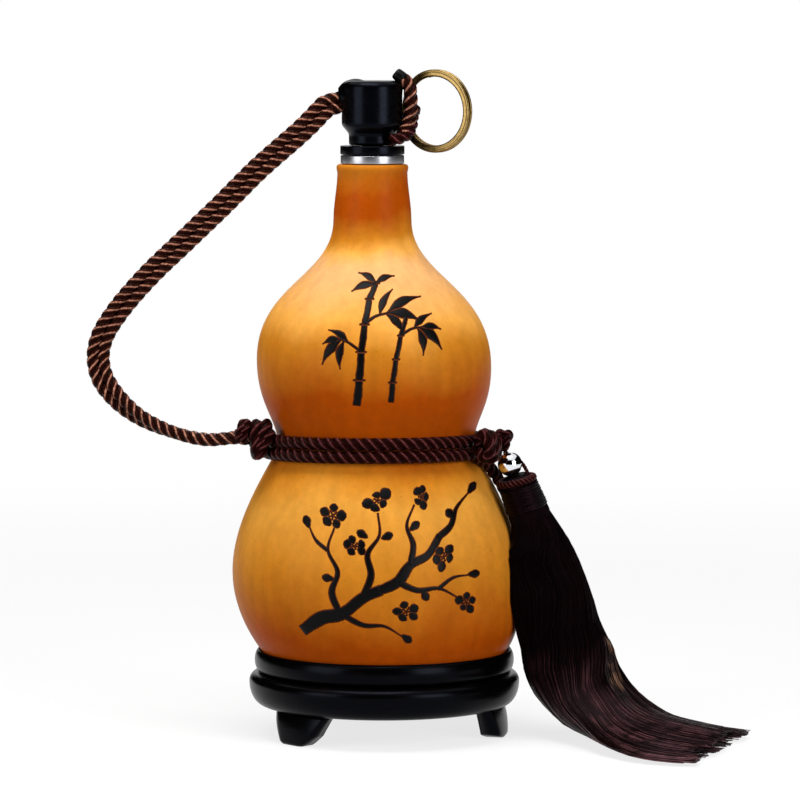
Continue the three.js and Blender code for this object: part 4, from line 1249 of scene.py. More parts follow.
def brush(points, width, start=0.3, end=0.1, belly=0.5, steps=36):
    """Line and widths of one stroke of the brush, from a few points."""
    spline = [Vector((x, y, 0)) for x, y in points]
    step = sum((b - a).length for a, b in zip(spline, spline[1:])) / steps
    path = [(p.x, p.y) for p in catmull_rom(spline, step)]
    widths = []
    for i in range(len(path)):
        t = i / (len(path) - 1)
        rise = smoothstep(t, 0, belly)
        fall = 1 - smoothstep(t, belly, 1)
        share = start + (1 - start) * rise if t < belly else end + (1 - end) * fall
        # The brush's edge wavers by a few hundredths.
        waver = 0.05 * math.sin(9.7 * t + 3 * points[0][0])
        waver += 0.03 * math.sin(23 * t + points[-1][1])
        widths.append(max(0.16, width * share * (1 + waver)))
    return path, widths


def leaf(x, y, angle, long, wide, bend):
    """A pointed bamboo leaf that bends to one side."""
    a = math.radians(angle)
    along, across = Vector((math.cos(a), math.sin(a))), Vector((-math.sin(a), math.cos(a)))
    points = []
    for t in (0, 0.25, 0.5, 0.75, 1):
        p = Vector((x, y)) + along * (long * t) + across * (long * bend * math.sin(math.pi * t))
        points.append((p.x, p.y))
    return brush(points, wide, 0.12, 0.04, 0.42)


def bamboo():
    """Two bamboo culms with their leaves, in millimetres round the middle of the place."""
    strokes = []
    for culm in (
        [(-9.5, -24.5), (-8.4, -13.5), (-7.6, -2), (-6.2, 9), (-4.2, 19), (-1.6, 25)],
        [(4.5, -23), (5.2, -14.5), (6.6, -5), (8.6, 4.5), (11, 12.5)],
    ):
        wide = 3.1 if culm[0][0] < 0 else 2.1
        for (x0, y0), (x1, y1) in zip(culm, culm[1:]):
            gap = 0.05
            a = (x0 + (x1 - x0) * gap, y0 + (y1 - y0) * gap)
            b = (x1 - (x1 - x0) * gap, y1 - (y1 - y0) * gap)
            m = ((a[0] + b[0]) / 2 + 0.15, (a[1] + b[1]) / 2)
            strokes.append(brush([a, m, b], wide, 0.95, 0.9, 0.1))
            strokes.append(
                brush(
                    [(x1 - wide * 0.75, y1 - 0.1), (x1, y1 + 0.35), (x1 + wide * 0.75, y1 - 0.1)],
                    0.8, 0.4, 0.4, 0.5, 8,
                )
            )
            wide *= 0.9
    strokes.append(brush([(-6.2, 9), (-2, 12), (3, 13.4)], 0.9, 0.8, 0.5, 0.3))
    strokes.append(brush([(8.6, 4.5), (13, 7), (17, 7.6)], 0.8, 0.8, 0.5, 0.3))
    strokes.append(brush([(-7.6, -2), (-12.5, 1.5), (-16, 3)], 0.8, 0.8, 0.5, 0.3))
    for x, y, angle, long, wide in (
        (3, 13.4, 24, 15, 3.4), (3, 13.4, -14, 14, 3.6), (2.5, 13.2, -48, 11, 3),
        (0, 12.8, 62, 11, 2.8), (17, 7.6, -8, 8, 2.6), (16, 7.5, -44, 13, 3.4),
        (15.5, 7.2, -78, 11, 3), (14, 7.2, 38, 9, 2.6), (-16, 3, 196, 7.5, 2.6),
        (-15.5, 2.9, 232, 13, 3.4), (-14.6, 2.4, 262, 11.5, 3), (-13, 2, 150, 9, 2.6),
        (-1.6, 25, 150, 8, 2.4), (-1.8, 24.6, 196, 10, 2.8), (-1.6, 25, 20, 8, 2.3),
    ):
        strokes.append(leaf(x, y, angle, long, wide, 0.1 if angle < 90 else -0.1))
    return strokes


def plum():
    """Plum branch with blossoms and buds, in millimetres round the middle of the place."""
    strokes = [
        brush([(-36, -27), (-28, -21), (-20, -19), (-11, -12), (-4, -9)], 5.4, 0.9, 0.75, 0.3),
        brush([(-4.6, -9.2), (3, -5.6), (8, 1), (15, 4.6), (20, 12)], 4.2, 0.9, 0.6, 0.2),
        brush([(19.6, 11.6), (24.6, 15.8), (27, 22.4), (32.6, 28.4)], 2.6, 0.95, 0.15, 0.1),
        brush(
            [(-21, -18.6), (-24, -10), (-21.6, -2), (-25.6, 7), (-23, 15.6)], 2.5, 0.95, 0.15, 0.1,
        ),
        brush(
            [(-11.4, -12), (-8, -3), (-9.4, 5.4), (-4.6, 13), (-5.2, 21.6)], 2.8, 0.95, 0.15, 0.1,
        ),
        brush([(8, 1), (9.2, 9), (6.6, 16.6), (9.6, 24.6)], 2.2, 0.95, 0.15, 0.1),
        brush([(3, -5.8), (11, -9.4), (19.6, -9), (28, -13.6)], 2.4, 0.95, 0.12, 0.1),
        brush([(19.4, -9.2), (25.6, -5), (32.6, -4.4)], 1.4, 0.95, 0.15, 0.1),
        brush([(-26, 6.8), (-30.6, 10.6), (-33.4, 16)], 1.3, 0.95, 0.15, 0.1),
        brush([(-20, -19.2), (-11, -23.6), (-2.6, -24), (5, -28.6)], 2.2, 0.95, 0.12, 0.1),
    ]
    for x, y, size, turn in (
        (-23.6, 20.4, 5.2, 10), (-5.4, 26.6, 5.8, 40), (12.6, 27.6, 4.6, 0), (-14.6, 8.6, 4.9, 25),
        (21.6, 3.6, 5.2, 50), (31, -15.6, 4.4, 15), (6.4, -18, 4.8, 30),
    ):
        strokes += blossom(x, y, size, turn)
    for x, y, angle in (
        (33.6, 29.6, 50), (-34.2, 17.6, 110), (34.2, -4.2, 0), (6.6, -29.4, -40),
        (-11.6, 13.4, 150), (24.4, 20.4, 130), (-25.6, -4.4, 170), (9.8, 16.4, 40),
        (14, -11.6, -60), (-1.4, 12.6, 20),
    ):
        # A bud between two narrow scales
        a = math.radians(angle)
        for back, lean, long, wide in (
            (1.6, 0, 3.8, 3.3), (2.4, 24, 2.2, 0.9), (2.4, -24, 2.2, 0.9),
        ):
            strokes.append(
                dab(x - back * math.cos(a), y - back * math.sin(a), angle + lean, long, wide),
            )
    return strokes


def dab(x, y, angle, long, wide):
    """A short full touch of the brush, rounded at both ends."""
    a = math.radians(angle)
    points, widths = [], []
    for i in range(17):
        t = i / 16
        points.append((x + long * t * math.cos(a), y + long * t * math.sin(a)))
        widths.append(
            max(0.12, wide * math.sin(math.pi * (0.02 + 0.96 * t)) ** 0.55 * (0.86 + 0.14 * t)),
        )
    return points, widths


def blossom(x, y, size, turn):
    """Five full petals round an open heart with dotted stamens, turned a little away."""
    strokes = []
    away = 0.72 + 0.22 * math.sin(1.3 * x)
    lean = math.radians(turn * 3)

    def seen(line):
        """The line as it looks on a flower that faces sideways."""
        shown = []
        for px, py in line:
            across = (px - x) * math.cos(lean) + (py - y) * math.sin(lean)
            up = (py - y) * math.cos(lean) - (px - x) * math.sin(lean)
            across *= away
            new_x = x + across * math.cos(lean) - up * math.sin(lean)
            new_y = y + across * math.sin(lean) + up * math.cos(lean)
            shown.append((new_x, new_y))
        return shown

    def touch(reach, angle, long, wide):
        a = math.radians(angle)
        line, widths = dab(x + reach * math.cos(a), y + reach * math.sin(a), angle, long, wide)
        strokes.append((seen(line), widths))

    for k in range(5):
        angle = turn + 72 * k + 7 * math.sin(k * 2.1 + turn)
        long = size * (0.7 + 0.12 * math.sin(k * 3.7 + x))
        wide = size * (0.74 + 0.12 * math.sin(k * 2.3 + y))
        touch(size * 0.34, angle, long, wide)
        stamen = size * (0.26 + 0.08 * math.sin(5.1 * k + y))
        touch(0.1, angle + 36, stamen, 0.34)
        touch(stamen + 0.2, angle + 36, 0.55, 0.6)
    return strokes


class GOURD_OT_stopper(bpy.types.Operator):
    """The black stopper: knob with its ear, flange, plug and seals"""

    bl_idname = "wine_gourd.stopper"
    bl_label = "Stopper"

    def execute(self, context):
        gloss = material_for(black_gloss_material)
        made = piece("knob", [self.knob()], gloss)
        self.cut_slot(made)
        place(made, "stopper", "black_gloss", "stopper_knob")
        bore = STUD_RADIUS + 0.3
        disc = [
            (9, FLANGE_BOTTOM), (FLANGE_RADIUS, FLANGE_BOTTOM), (FLANGE_RADIUS, FLANGE_TOP),
            (bore, FLANGE_TOP), (bore, FLANGE_BOTTOM), (9, FLANGE_BOTTOM),
        ]
        made = piece("flange", [turned(rounded(disc, 0.5), 96, MOUTH * MM)], gloss)
        place(made, "stopper", "black_gloss", "stopper_flange")
        self.plug(gloss)
        return {"FINISHED"}

    def knob(self):
        """Skin of the knob from the stud's socket up to the middle of its top."""
        bore, socket_top, waist = STUD_RADIUS + 0.3, STUD_TOP + 0.3, 9.8
        side = [
            (bore, socket_top), (bore, 8.0), (waist, 8.0), (waist, STUD_TOP), (KNOB_RADIUS, 16.2),
        ]
        side = rounded([*side, (KNOB_RADIUS, KNOB_TOP), (8.0, KNOB_TOP)], 1.0)
        side = [(0.0, socket_top), *side[:-1]]
        profile = []
        for (r0, z0), (r1, z1) in zip(side, side[1:]):
            parts = max(1, round(math.dist((r0, z0), (r1, z1)) / 0.7))
            profile += [
                (r0 + (r1 - r0) * k / parts, z0 + (z1 - z0) * k / parts)
                for k in range(parts)
            ]
        # The top's edge is rounder than the other edges.
        flat, level = KNOB_RADIUS - KNOB_ROUNDING, KNOB_TOP - KNOB_ROUNDING
        profile = [(r, z) for r, z in profile if z < level - 0.1 or r < 5]
        for k in range(9):
            a = math.radians(90 * k / 8)
            profile.append(
                (flat + KNOB_ROUNDING * math.cos(a), level + KNOB_ROUNDING * math.sin(a)),
            )
        profile += [(flat * (1 - k / 12), KNOB_TOP) for k in range(1, 13)]
        points, faces, corners = turned(profile, 120)
        return [(MOUTH + self.with_ear(p / MM)) * MM for p in points], faces, corners

    def with_ear(self, p):
        """A point of the knob, moved out where the ear stands proud of it."""
        away = math.hypot(p.x, p.y)
        if p.z < 17 or away < 0.01:
            return p
        x, y = p.x / away, p.y / away
        level = (p.z - EAR_HEIGHT) / EAR_HALF_HEIGHT
        # Far crossing of the ray from the knob's axis with the ear's ellipsoid
        a = (x / EAR_HALF_LENGTH) ** 2 + (y / EAR_HALF_WIDTH) ** 2
        b = 2 * EAR_OFFSET * x / EAR_HALF_LENGTH**2
        c = (EAR_OFFSET / EAR_HALF_LENGTH) ** 2 + level * level - 1
        inner = b * b - 4 * a * c
        reach = (-b + math.sqrt(inner)) / (2 * a) if abs(level) < 1 and inner > 0 else 0
        if reach > 0 and away > 9.4:
            # The ear joins the knob in a small hollow.
            hollow = 0.7
            share = max(0.0, min(1.0, 0.5 + 0.5 * (reach - away) / hollow))
            grown = away * (1 - share) + reach * share + hollow * share * (1 - share) * 0.5
            grown = max(grown, away)
            p = Vector((x * grown, y * grown, p.z))
        dome = 1 - ((p.x + EAR_OFFSET) / EAR_HALF_LENGTH) ** 2 - (p.y / EAR_HALF_WIDTH) ** 2
        if p.z > 31.5 and dome > 0:
            p = Vector((p.x, p.y, max(p.z, EAR_HEIGHT + EAR_HALF_HEIGHT * math.sqrt(dome))))
        return p

    def cut_slot(self, made):
        """The cross hole, a slot with round ends for two cords one above the other."""
        half, rise, reach = 2.85, 2.5, 17
        ring = []
        for start, middle in ((0.0, rise), (math.pi, -rise)):
            for k in range(24):
                a = start + math.pi * k / 23
                ring.append((half * math.cos(a), middle + half * math.sin(a)))
        rings = [
            [(MOUTH + Vector((x, y, HOLE_HEIGHT + z))) * MM for y, z in ring]
            for x in (-reach, reach)
        ]
        cutter = piece("slot_cutter", [loft(rings)], made.data.materials[0])
        cut = made.modifiers.new("slot", "BOOLEAN")
        cut.operation, cut.object, cut.solver = "DIFFERENCE", cutter, "EXACT"
        bake(made)
        bpy.data.objects.remove(cutter)

    def plug(self, gloss):
        """The part in the mouth, with a groove for each seal, and its stud up into the knob."""
        profile = [(0, -16.3), (7.75, -16.3), (PLUG_RADIUS, -15.1)]
        for z in SEAL_HEIGHTS:
            groove = [
                (PLUG_RADIUS, z - 1.15), (7.25, z - 1.15), (7.25, z + 1.15),
                (PLUG_RADIUS, z + 1.15),
            ]
            profile += groove
        profile += [(PLUG_RADIUS, 3.7), (STUD_RADIUS, 3.7), (STUD_RADIUS, STUD_TOP), (0, STUD_TOP)]
        made = piece("plug", [turned(rounded(profile, 0.2, 2), 64, MOUTH * MM)], gloss)
        place(made, "stopper", "black_gloss", "stopper_plug")
        rubber = plain_material("moulded silicone", "D8D4C8", 0.55)
        for number in (1, 2):
            solid = "plug_seal_%d" % number
            z = middle_of(solid).z / MM - MOUTH_HEIGHT
            ring = [
                (7.55, z), (7.55, z - 0.85), (9.1, z - 0.85), (9.1, z + 0.85), (7.55, z + 0.85),
                (7.55, z),
            ]
            made = piece("seal_%d" % number, [turned(rounded(ring, 0.5), 64, MOUTH * MM)], rubber)
            place(made, "stopper", "silicone", solid)


def bake(made):
    """The piece's mesh with its modifiers in it."""
    bpy.context.view_layer.update()
    evaluated = made.evaluated_get(bpy.context.evaluated_depsgraph_get())
    mesh = bpy.data.meshes.new_from_object(evaluated)
    made.modifiers.clear()
    made.data = mesh


class GOURD_OT_collar(bpy.types.Operator):
    """The metal sleeve in the mouth"""

    bl_idname = "wine_gourd.collar"
    bl_label = "Mouth collar"

    def execute(self, context):
        profile = [
            (9.4, -10), (9.4, -19), (11.0, -19), (11.0, 0.3), (13.25, 0.3), (13.25, 3.7),
            (9.4, 3.7), (9.4, -10),
        ]
        steel = metal_material("turned steel", "9C9DA3", 0.3, 0.06)
        made = piece("collar", [turned(rounded(profile, 0.35), 96, MOUTH * MM)], steel)
        place(made, "gourd", "polished_steel", "mouth_collar")
        return {"FINISHED"}


class GOURD_OT_split_ring(bpy.types.Operator):
    """The brass split ring of two flat coils"""

    bl_idname = "wine_gourd.split_ring"
    bl_label = "Split ring"

    def execute(self, context):
        turns, per_turn = 1.79, 120
        steps = round(turns * per_turn)
        turn_about = Matrix.Rotation(math.radians(-34), 4, "Z")
        middle = (MOUTH + Vector((26.4, 0.9, 22))) * MM
        coil_radius, coil_gap = 15.8, 1.85
        section = []
        for k in range(28):
            b = 2 * math.pi * k / 28
            c, s = math.cos(b), math.sin(b)
            along = 1.55 * math.copysign(abs(c) ** 0.7, c)
            # A groove runs round the middle of each face.
            groove = 1 - 0.4 * math.exp(-((along / 0.4) ** 2))
            section.append((along, 0.675 * groove * math.copysign(abs(s) ** 0.6, s)))
        rings = []
        for i in range(steps + 1):
            turn = i / per_turn
            # The coil starts behind the hitch, so that its ends don't show.
            a = 2 * math.pi * (turn + 0.5)
            across = coil_gap * (smoothstep(turn, 0.8, 0.99) - 0.5)
            ring = []
            for along, aside in section:
                reach = coil_radius + along
                p = Vector((reach * math.cos(a), across + aside, reach * math.sin(a))) * MM
                ring.append(middle + turn_about @ p)
            rings.append(ring)
        brass = metal_material("drawn brass", "8E7648", 0.3, 0.004, "705A32")
        made = piece("ring", [loft(rings)], brass)
        place(made, "ring", "aged_brass", "split_ring")
        return {"FINISHED"}


def tassel_line():
    """The point that the tassel hangs by, and the direction of its line."""
    pivot = middle_of("end_knot") + Vector((0.5, 0.2, -5.0)) * MM
    return pivot, Vector((0.36, 0.06, -0.93)).normalized()


def along_tassel(skin, pivot, line):
    """A skin turned about -Z, hung from the pivot along the tassel's line."""
    points, faces, corners = skin
    turn = Vector((0, 0, -1)).rotation_difference(line)
    return [pivot + turn @ p for p in points], faces, corners


class GOURD_OT_bead(bpy.types.Operator):
    """The chrome bead on its thin cord"""

    bl_idname = "wine_gourd.bead"
    bl_label = "Bead"

    def execute(self, context):
        pivot, line = tassel_line()
        radius, drop, bore = 5.1, 5.7, 1.4
        profile = []
        for k in range(33):
            a = math.radians(-74 + 148 * k / 32)
            profile.append((radius * math.cos(a), -drop + radius * math.sin(a)))
        low, high = (bore, profile[0][1] + 0.1), (bore, profile[-1][1] - 0.1)
        profile = [low, *profile, high, low]
        chrome = metal_material("chromed bead", "E4E6EA", 0.05, 0.02)
        made = piece("bead", [along_tassel(turned(profile, 72), pivot, line)], chrome)
        place(made, "tassel", "chrome", "tassel_bead")
        thin = [pivot + line * (d * MM) for d in (0.2, 3, 6, 9, 11.4)]
        tie(
            "thin_cord", rope(resample(thin, 0.5 * MM), 2.2 * MM, 5 * MM, sides=8), cord_material,
            "tassel", "tassel_fibre", "tassel_cord"
        )
        return {"FINISHED"}


def skirt_frames(steps):
    """Middle, side, up, half width and half thickness at equal shares of the skirt."""
    pivot, hang = tassel_line()
    top = (pivot + hang * (30.0 * MM)) / MM
    stations = [(top, 8.3, 8.3), *[(Vector(p), w, t) for p, w, t in SKIRT_STATIONS]]
    line = catmull_rom([p for p, _, _ in stations], 1.0)
    walked = 0.0
    sizes = []
    for (before, _, _), (p, wide, thick) in zip([stations[0], *stations], stations):
        walked += (p - before).length
        sizes.append(Vector((walked, wide, thick)))
    sizes = catmull_rom(sizes, 1.0)
    result = []
    for i in range(steps + 1):
        k = min(len(line) - 1, round(i / steps * (len(line) - 1)))
        along = (line[min(k + 1, len(line) - 1)] - line[max(k - 1, 0)]).normalized()
        side = along.cross(Vector((0, 0, 1))).normalized()
        at = walked * i / steps
        size = min(sizes, key=lambda v: abs(v.x - at))
        result.append((line[k], side, side.cross(along), size.y, size.z))
    return result


def skirt_point(frame, angle, share, opened=1.0):
    """A point of the skirt. share 1 is its surface, and opened spreads it sideways."""
    middle, side, up, wide, thick = frame
    across = side * (wide * share * opened * math.cos(angle))
    return middle + across + up * (thick * share * math.sin(angle))


def clear_of_belly(p, gap=0.5):
    """The skirt is pressed against the belly, so points inside it move out to its skin."""
    middle = drift(p.z)
    away = math.hypot(p.x - middle, p.y)
    least = skin_radius(p.z) + gap
    if away >= least or away < 1e-6:
        return p
    scale = least / away
    return Vector((middle + (p.x - middle) * scale, p.y * scale, p.z))


def thread_tree():
    """Geometry nodes that give a round section to each thread line."""
    tree = bpy.data.node_groups.new("threads", "GeometryNodeTree")
    inputs = {"Geometry": "Geometry", "Thickness": "Float", "Seed": "Int", "Material": "Material"}
    for name, kind in inputs.items():
        tree.interface.new_socket(name=name, in_out="INPUT", socket_type="NodeSocket" + kind)
    tree.interface.new_socket(name="Geometry", in_out="OUTPUT", socket_type="NodeSocketGeometry")
    start = node(tree, "NodeGroupInput")
    lines = node(tree, "GeometryNodeMeshToCurve", {"Mesh": start.outputs["Geometry"]})
    own = node(tree, "FunctionNodeRandomValue", {"Seed": start.outputs["Seed"]}, data_type="FLOAT")
    marked = node(
        tree, "GeometryNodeStoreNamedAttribute",
        {"Geometry": lines, "Name": "tint", "Value": own.outputs[1]}, data_type="FLOAT",
        domain="CURVE",
    )
    half = node(
        tree, "ShaderNodeMath", {0: start.outputs["Thickness"], 1: 0.5}, operation="MULTIPLY",
    )
    section = node(tree, "GeometryNodeCurvePrimitiveCircle", {"Resolution": 3, "Radius": half})
    swept = node(
        tree, "GeometryNodeCurveToMesh",
        {"Curve": marked, "Profile Curve": section, "Fill Caps": True},
    )
    real = node(tree, "GeometryNodeRealizeInstances", {0: swept})
    dyed = node(
        tree, "GeometryNodeSetMaterial", {"Geometry": real, "Material": start.outputs["Material"]},
    )
    node(tree, "NodeGroupOutput", {0: dyed})
    return tree


def swept_threads(name, lines, thickness, seed, material):
    """Threads of one thickness along lines of points in metres."""
    points, edges = [], []
    for line in lines:
        start = len(points)
        points += [tuple(p) for p in line]
        edges += [(start + i, start + i + 1) for i in range(len(line) - 1)]
    mesh = bpy.data.meshes.new(name)
    mesh.from_pydata(points, edges, [])
    made = bpy.data.objects.new(name, mesh)
    bpy.context.scene.collection.objects.link(made)
    tree = bpy.data.node_groups.get("threads") or thread_tree()
    sweep = made.modifiers.new("threads", "NODES")
    sweep.node_group = tree
    sockets = {
        item.name: item.identifier
        for item in tree.interface.items_tree
        if item.in_out == "INPUT"
    }
    sweep[sockets["Thickness"]] = thickness
    sweep[sockets["Seed"]] = seed
    sweep[sockets["Material"]] = material
    bake(made)
    if not made.data.materials:
        made.data.materials.append(material)
    made.data.polygons.foreach_set("use_smooth", [True] * len(made.data.polygons))
    return made


class GOURD_OT_tassel(bpy.types.Operator):
    """The tassel: thread-wound head, skirt and loose threads"""

    bl_idname = "wine_gourd.tassel"
    bl_label = "Tassel"

    def execute(self, context):
        look = context.scene.tassel_look
        fibre = material_for(thread_material)
        self.head(look, fibre)
        self.skirt(look, fibre)
        return {"FINISHED"}

    def head(self, look, fibre):
        """Threads drawn over a core and bound by a winding, with a braided rim and a thin cord."""
        pivot, hang = tassel_line()
        turn = Vector((0, 0, -1)).rotation_difference(hang)

        def at(radius, angle, z):
            p = Vector((radius * math.cos(angle), radius * math.sin(angle), z))
            return pivot + turn @ (p * MM)

        # The head, from below its winding up to its domed top
        core = [
            (0, -29.7), (7.9, -29.7), (7.4, -21), (7.1, -15.7), (6.4, -13.0), (4.6, -11.6),
            (0, -11.0),
        ]
        made = piece(
            "tassel_core", [along_tassel(turned(rounded(core, 1.0), 48), pivot, hang)], fibre,
        )
        place(made, "tassel", "tassel_fibre", "tassel_head")
        # Threads laid over the top, and the winding that binds them
        rng = random.Random(4)
        lines = []
        for k in range(120):
            a = 2 * math.pi * (k + rng.uniform(-0.3, 0.3)) / 120
            drop = [(1.6, -10.9), (4.4, -11.2), (6.4, -12.4), (7.3, -14.4), (7.6, -17)]
            lines.append(catmull_rom([at(r, a, z) for r, z in drop], 1.0 * MM))
        turns, per_turn = 11, 40
        wound = []
        for i in range(turns * per_turn + 1):
            t = i / (turns * per_turn)
            a = 2 * math.pi * i / per_turn
            radius = 7.75 + 0.7 * t + 0.08 * math.sin(0.37 * i)
            wound.append(at(radius, a, -15.6 - 10 * t - 0.25 * math.sin(a + 2)))
        made = swept_threads("head_threads", lines, look.thread, 7, fibre)
        place(made, "tassel", "tassel_fibre")
        made = piece("head_winding", [tube(wound, 0.56 * MM, 8)], material_for(winding_material))
        place(made, "tassel", "tassel_fibre")
        rim = [
            at(7.15, 2 * math.pi * k / 96, -13.1 - 1.0 * math.cos(2 * math.pi * k / 96))
            for k in range(97)
        ]
        braid = rope(resample(rim, 0.5 * MM), 3.1 * MM, 4.8 * MM, sides=8)
        made = piece("braided_rim", braid, material_for(shaded_cord_material))
        place(made, "tassel", "tassel_fibre")
        # The thin cord that comes round the bead to a small knot on the rim
        loop = [
            (0.8, 0.2, -3.4), (4.2, 0.4, -2.6), (7.4, 0.2, -5.4), (9.6, -0.6, -9.2),
            (11.2, -1.2, -12.4),
        ]
        loop = catmull_rom([pivot + Vector(p) * MM for p in loop], 0.5 * MM)
        tie(
            "bead_loop", rope(loop, 1.7 * MM, 4 * MM, sides=8), shaded_cord_material, "tassel",
            "tassel_fibre"
        )
        knot = []
        for i in range(61):
            a = 2 * math.pi * 2.4 * i / 60
            p = Vector(
                (11.2 + 1.3 * math.cos(a), -1.4 + 1.4 * math.sin(a), -14.2 + 2.6 * (0.5 - i / 60)),
            )
            knot.append(pivot + p * MM)
        tie(
            "rim_knot", rope(resample(knot, 0.4 * MM), 1.8 * MM, 4 * MM, sides=8), shaded_cord_material,
            "tassel", "tassel_fibre"
        )

    def laid(self, p, angle, share):
        """A point of the skirt, leaning on the belly's side above and flat on the table below."""
        left = max(0.0, -math.sin(angle))
        p = p + Vector((-9, -4, 0)) * (left * smoothstep(p.z, 38, 62) * smoothstep(share, 0, 0.12))
        front = max(0.0, math.cos(angle)) ** 2 * smoothstep(share, 0.42, 0.85)
        p += Vector((-2.5, -8, 0)) * front
        flat = math.cos(angle) ** 2 * smoothstep(share, 0.6, 0.95)
        p.z -= max(0.0, p.z - 1.2) * 0.8 * flat
        p.z = max(p.z, 0.45)
        return p

    def skirt(self, look, fibre):
        """Loose threads round a dark core, from the winding down to the table."""
        frames = skirt_frames(60)
        rings = []
        for i, frame_here in enumerate(frames[:53]):
            slim = 0.93 - 0.25 * smoothstep(i, 42, 52)
            ring = []
            for k in range(60):
                a = -2 * math.pi * k / 60
                flute = slim - (0.04 if k % 2 else 0.0)
                p = self.laid(skirt_point(frame_here, a, flute), a, i / 60)
                ring.append(clear_of_belly(p) * MM)
            rings.append(ring)
        made = piece("skirt_core", [loft(rings)], fibre)
        place(made, "tassel", "tassel_fibre", "tassel_skirt")
        pivot, hang = tassel_line()
        rng = random.Random(11)
        batches = {"skirt_threads_near": [], "skirt_threads_far": []}
        for n in range(look.threads):
            angle = 2 * math.pi * rng.random()
            depth = rng.uniform(0.9, 1.02)
            # Bundles of threads end together, so the end is ragged.
            bundle = 0.014 * math.sin(5.3 * angle + 1) + 0.012 * math.sin(13 * angle)
            ends = 0.992 + bundle + rng.uniform(-0.035, 0.015) - (
                0.12 if rng.random() < 0.12 else 0.0
            )
            swing, phase = rng.uniform(0.0, 0.02), rng.uniform(0, 2 * math.pi)
            spread = rng.uniform(0.0, 0.12)
            lift = rng.uniform(0.0, 1.6)
            # The threads start on the winding at uneven heights.
            start = rng.uniform(22.5, 28)
            _, side, up, _, _ = frames[0]
            out = side * math.cos(angle) + up * math.sin(angle)
            line = [
                pivot + hang * (d * MM) + out * ((6.1 + 0.085 * d) * MM)
                for d in (start, (start + 30) / 2)
            ]
            last = min(60, int(60 * ends))
            for i in [*range(0, last, 2), last]:
                share = i / 60
                a = angle + swing * math.sin(4 * share + phase)
                opened = 1 + spread * smoothstep(share, 0.62, 0.95)
                p = self.laid(skirt_point(frames[i], a, depth, opened), a, share)
                p.z += lift * smoothstep(share, 0.62, 0.95) * 0.8
                line.append(clear_of_belly(p, 0.6) * MM)
            batches["skirt_threads_near" if n % 2 else "skirt_threads_far"].append(line)
        for seed, (name, lines) in enumerate(batches.items()):
            made = swept_threads(name, lines, look.thread, 20 + seed, fibre)
            place(made, "tassel", "tassel_fibre")
        # Single threads that stand off the edges, where light comes through them
        strays = []
        for n in range(40):
            right = n % 3 > 0
            a = (math.pi / 2 if right else -math.pi / 2) + rng.uniform(-0.25, 0.25)
            first = rng.randint(22, 34)
            last = min(54, first + rng.randint(8, 18))
            line = []
            for i in range(first, last):
                bow = math.sin(math.pi * (i - first) / (last - first))
                reach = 1.0 + 0.05 * bow * rng.uniform(0.96, 1.04)
                p = self.laid(skirt_point(frames[i], a, reach), a, i / 60)
                line.append(clear_of_belly(p, 0.6) * MM)
            strays.append(line)
        made = swept_threads(
            "stray_threads", strays, look.thread * 0.7, 31, material_for(stray_material),
        )
        place(made, "tassel", "tassel_fibre")


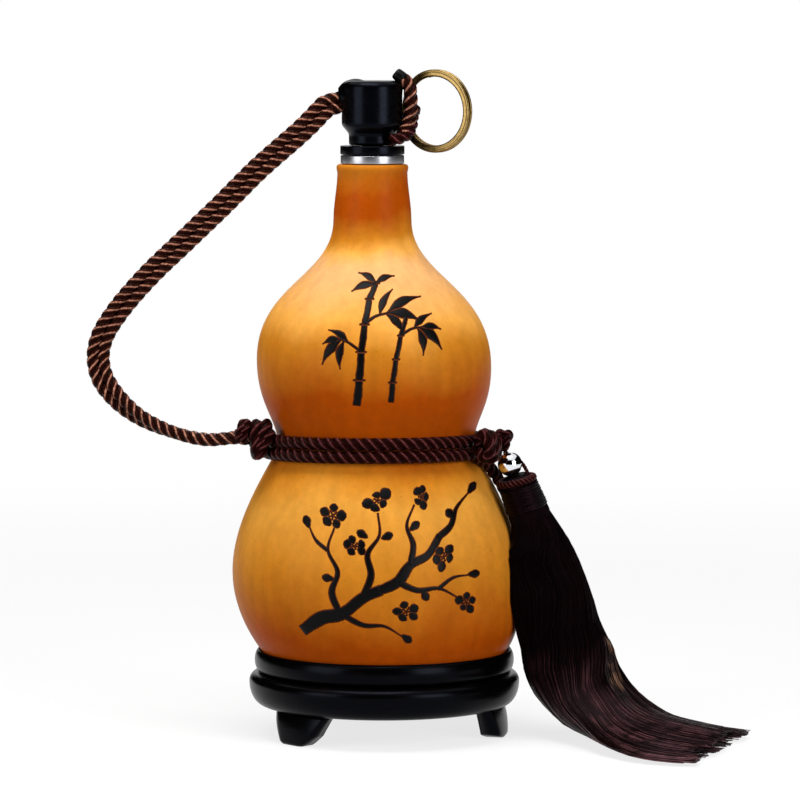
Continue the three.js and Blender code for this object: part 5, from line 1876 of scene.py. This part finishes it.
class GOURD_OT_stand(bpy.types.Operator):
    """The lacquered stand: upper ring, base and three feet"""

    bl_idname = "wine_gourd.stand"
    bl_label = "Stand"

    def execute(self, context):
        lacquer = material_for(lacquer_material)
        seat = skin_radius(36.1)
        groove = seat + 0.3
        axis = Vector((FOOT_DRIFT, 0, 0)) * MM
        gap = 0.45
        bulge = []
        for i in range(25):
            a = math.radians(-80 + 160 * i / 24)
            bulge.append((groove + 2.2 * math.cos(a), 31.5 + 4.6 * math.sin(a)))
        bore = skin_radius(26.9) + gap + 0.8
        inner = [(skin_radius(z) + gap, z) for z in (35.6, 34.4, 33.2, 32, 30.8, 29.6, 28.4, 27.4)]
        profile = [
            (bore, 24.5), (bore + 3.2, 24.5), (bore + 3.2, 26.9), (groove - 0.4, 26.9), *bulge,
            (seat + gap + 0.5, 36.1), *inner, (bore, 26.9), (bore, 24.5),
        ]
        made = piece("upper_ring", [turned(profile, 128, axis)], lacquer)
        place(made, "stand", "lacquered_wood", "stand_ring")
        recess = bore + 3.5
        under = seat - 2.5
        reach = seat + 4.8
        inside = seat - 9.3
        bowl = []
        for i in range(17):
            a = math.pi / 2 * i / 16
            bowl.append((under + (reach - under) * math.sin(a) ** 0.8, 22.7 - 9.9 * math.cos(a)))
        crown = []
        for i in range(1, 11):
            a = math.pi / 2 * i / 10
            crown.append((groove + (reach - groove) * math.cos(a), 22.7 + 3.9 * math.sin(a)))
        profile = [
            (inside + 4, 12.8), *bowl, *crown, (recess, 26.6), (recess, 24.2), (inside + 1, 24.2),
            (inside, 23.2), (inside, 13.2), (inside + 0.4, 12.8), (inside + 4, 12.8),
        ]
        made = piece("base", [turned(profile, 128, axis)], lacquer)
        place(made, "stand", "lacquered_wood", "stand_base")
        # The feet are cut by hand: one side steep, the other with a chamfer from the sole.
        for n, (degrees, side, chamfer) in enumerate(((-44, -1, 4.2), (76, 1, 1.6), (196, 1, 3.0))):
            self.leg(n + 1, degrees, side, chamfer, axis, seat, lacquer)
        return {"FINISHED"}

    def leg(self, number, degrees, side, chamfer, axis, seat, lacquer):
        """A foot bent round the stand, wide at the base and narrow at its sole."""
        outer_radius = seat + 0.1
        inner_radius = outer_radius - 9
        height, lean = 12.5, 1.56
        rings = []
        levels, across = 20, 14
        for i in range(levels + 1):
            share = i / levels
            z = height * share
            steep = (11.6 + 6.4 * share) / outer_radius
            slope = min(1.0, z / chamfer) + max(0.0, z - chamfer) / (height - chamfer)
            cut = (1.6 + 6.2 * slope) / outer_radius
            near, far = (-steep, cut) if side < 0 else (-cut, steep)
            outer = outer_radius - lean * share**3
            inset = 0.7 * max(0.0, 1 - share * 14)
            ring = []
            for radius, sign, order in (
                (outer, -1, range(across + 1)), (inner_radius, 1, range(across, -1, -1)),
            ):
                for k in order:
                    a = (near + (far - near) * k / across) * (1 - inset / 12)
                    reach = radius + sign * (inset + 0.5 * abs(2 * k / across - 1) ** 12)
                    ring.append((reach * math.sin(a), -reach * math.cos(a), z))
            spin = Matrix.Rotation(math.radians(degrees), 4, "Z")
            rings.append([axis + spin @ (Vector(p) * MM) for p in ring])
        made = piece("foot_%d" % number, [loft(rings)], lacquer)
        place(made, "stand", "lacquered_wood", "stand_leg_%d" % number)


OPERATORS = [
    GOURD_OT_stage, GOURD_OT_strap, GOURD_OT_stopper_cords, GOURD_OT_binding, GOURD_OT_shell,
    GOURD_OT_brushwork, GOURD_OT_stopper, GOURD_OT_collar, GOURD_OT_split_ring, GOURD_OT_bead,
    GOURD_OT_tassel, GOURD_OT_stand,
]
LOOKS = {
    "stage_look": StageLook, "cord_look": CordLook, "gourd_look": GourdLook,
    "tassel_look": TasselLook, "stand_look": StandLook,
}


class GOURD_PT_pieces(bpy.types.Panel):
    """Buttons for the pieces, with their sizes and colours"""

    bl_idname = "GOURD_PT_pieces"
    bl_label = "Wine gourd"
    bl_space_type = "VIEW_3D"
    bl_region_type = "UI"
    bl_category = "Wine gourd"

    def draw(self, context):
        for operator in OPERATORS:
            self.layout.operator(operator.bl_idname)
        for name in LOOKS:
            box = self.layout.box()
            look = getattr(context.scene, name)
            for key in look.__annotations__:
                box.prop(look, key)


def register():
    for kind in [*LOOKS.values(), *OPERATORS, GOURD_PT_pieces]:
        bpy.utils.register_class(kind)
    for name, kind in LOOKS.items():
        setattr(bpy.types.Scene, name, bpy.props.PointerProperty(type=kind))


def unregister():
    for name in LOOKS:
        delattr(bpy.types.Scene, name)
    for kind in reversed([*LOOKS.values(), *OPERATORS, GOURD_PT_pieces]):
        bpy.utils.unregister_class(kind)


def main():
    register()
    for operator in OPERATORS:
        name = operator.bl_idname.split(".")[1]
        getattr(bpy.ops.wine_gourd, name)()


if __name__ == "__main__":
    main()
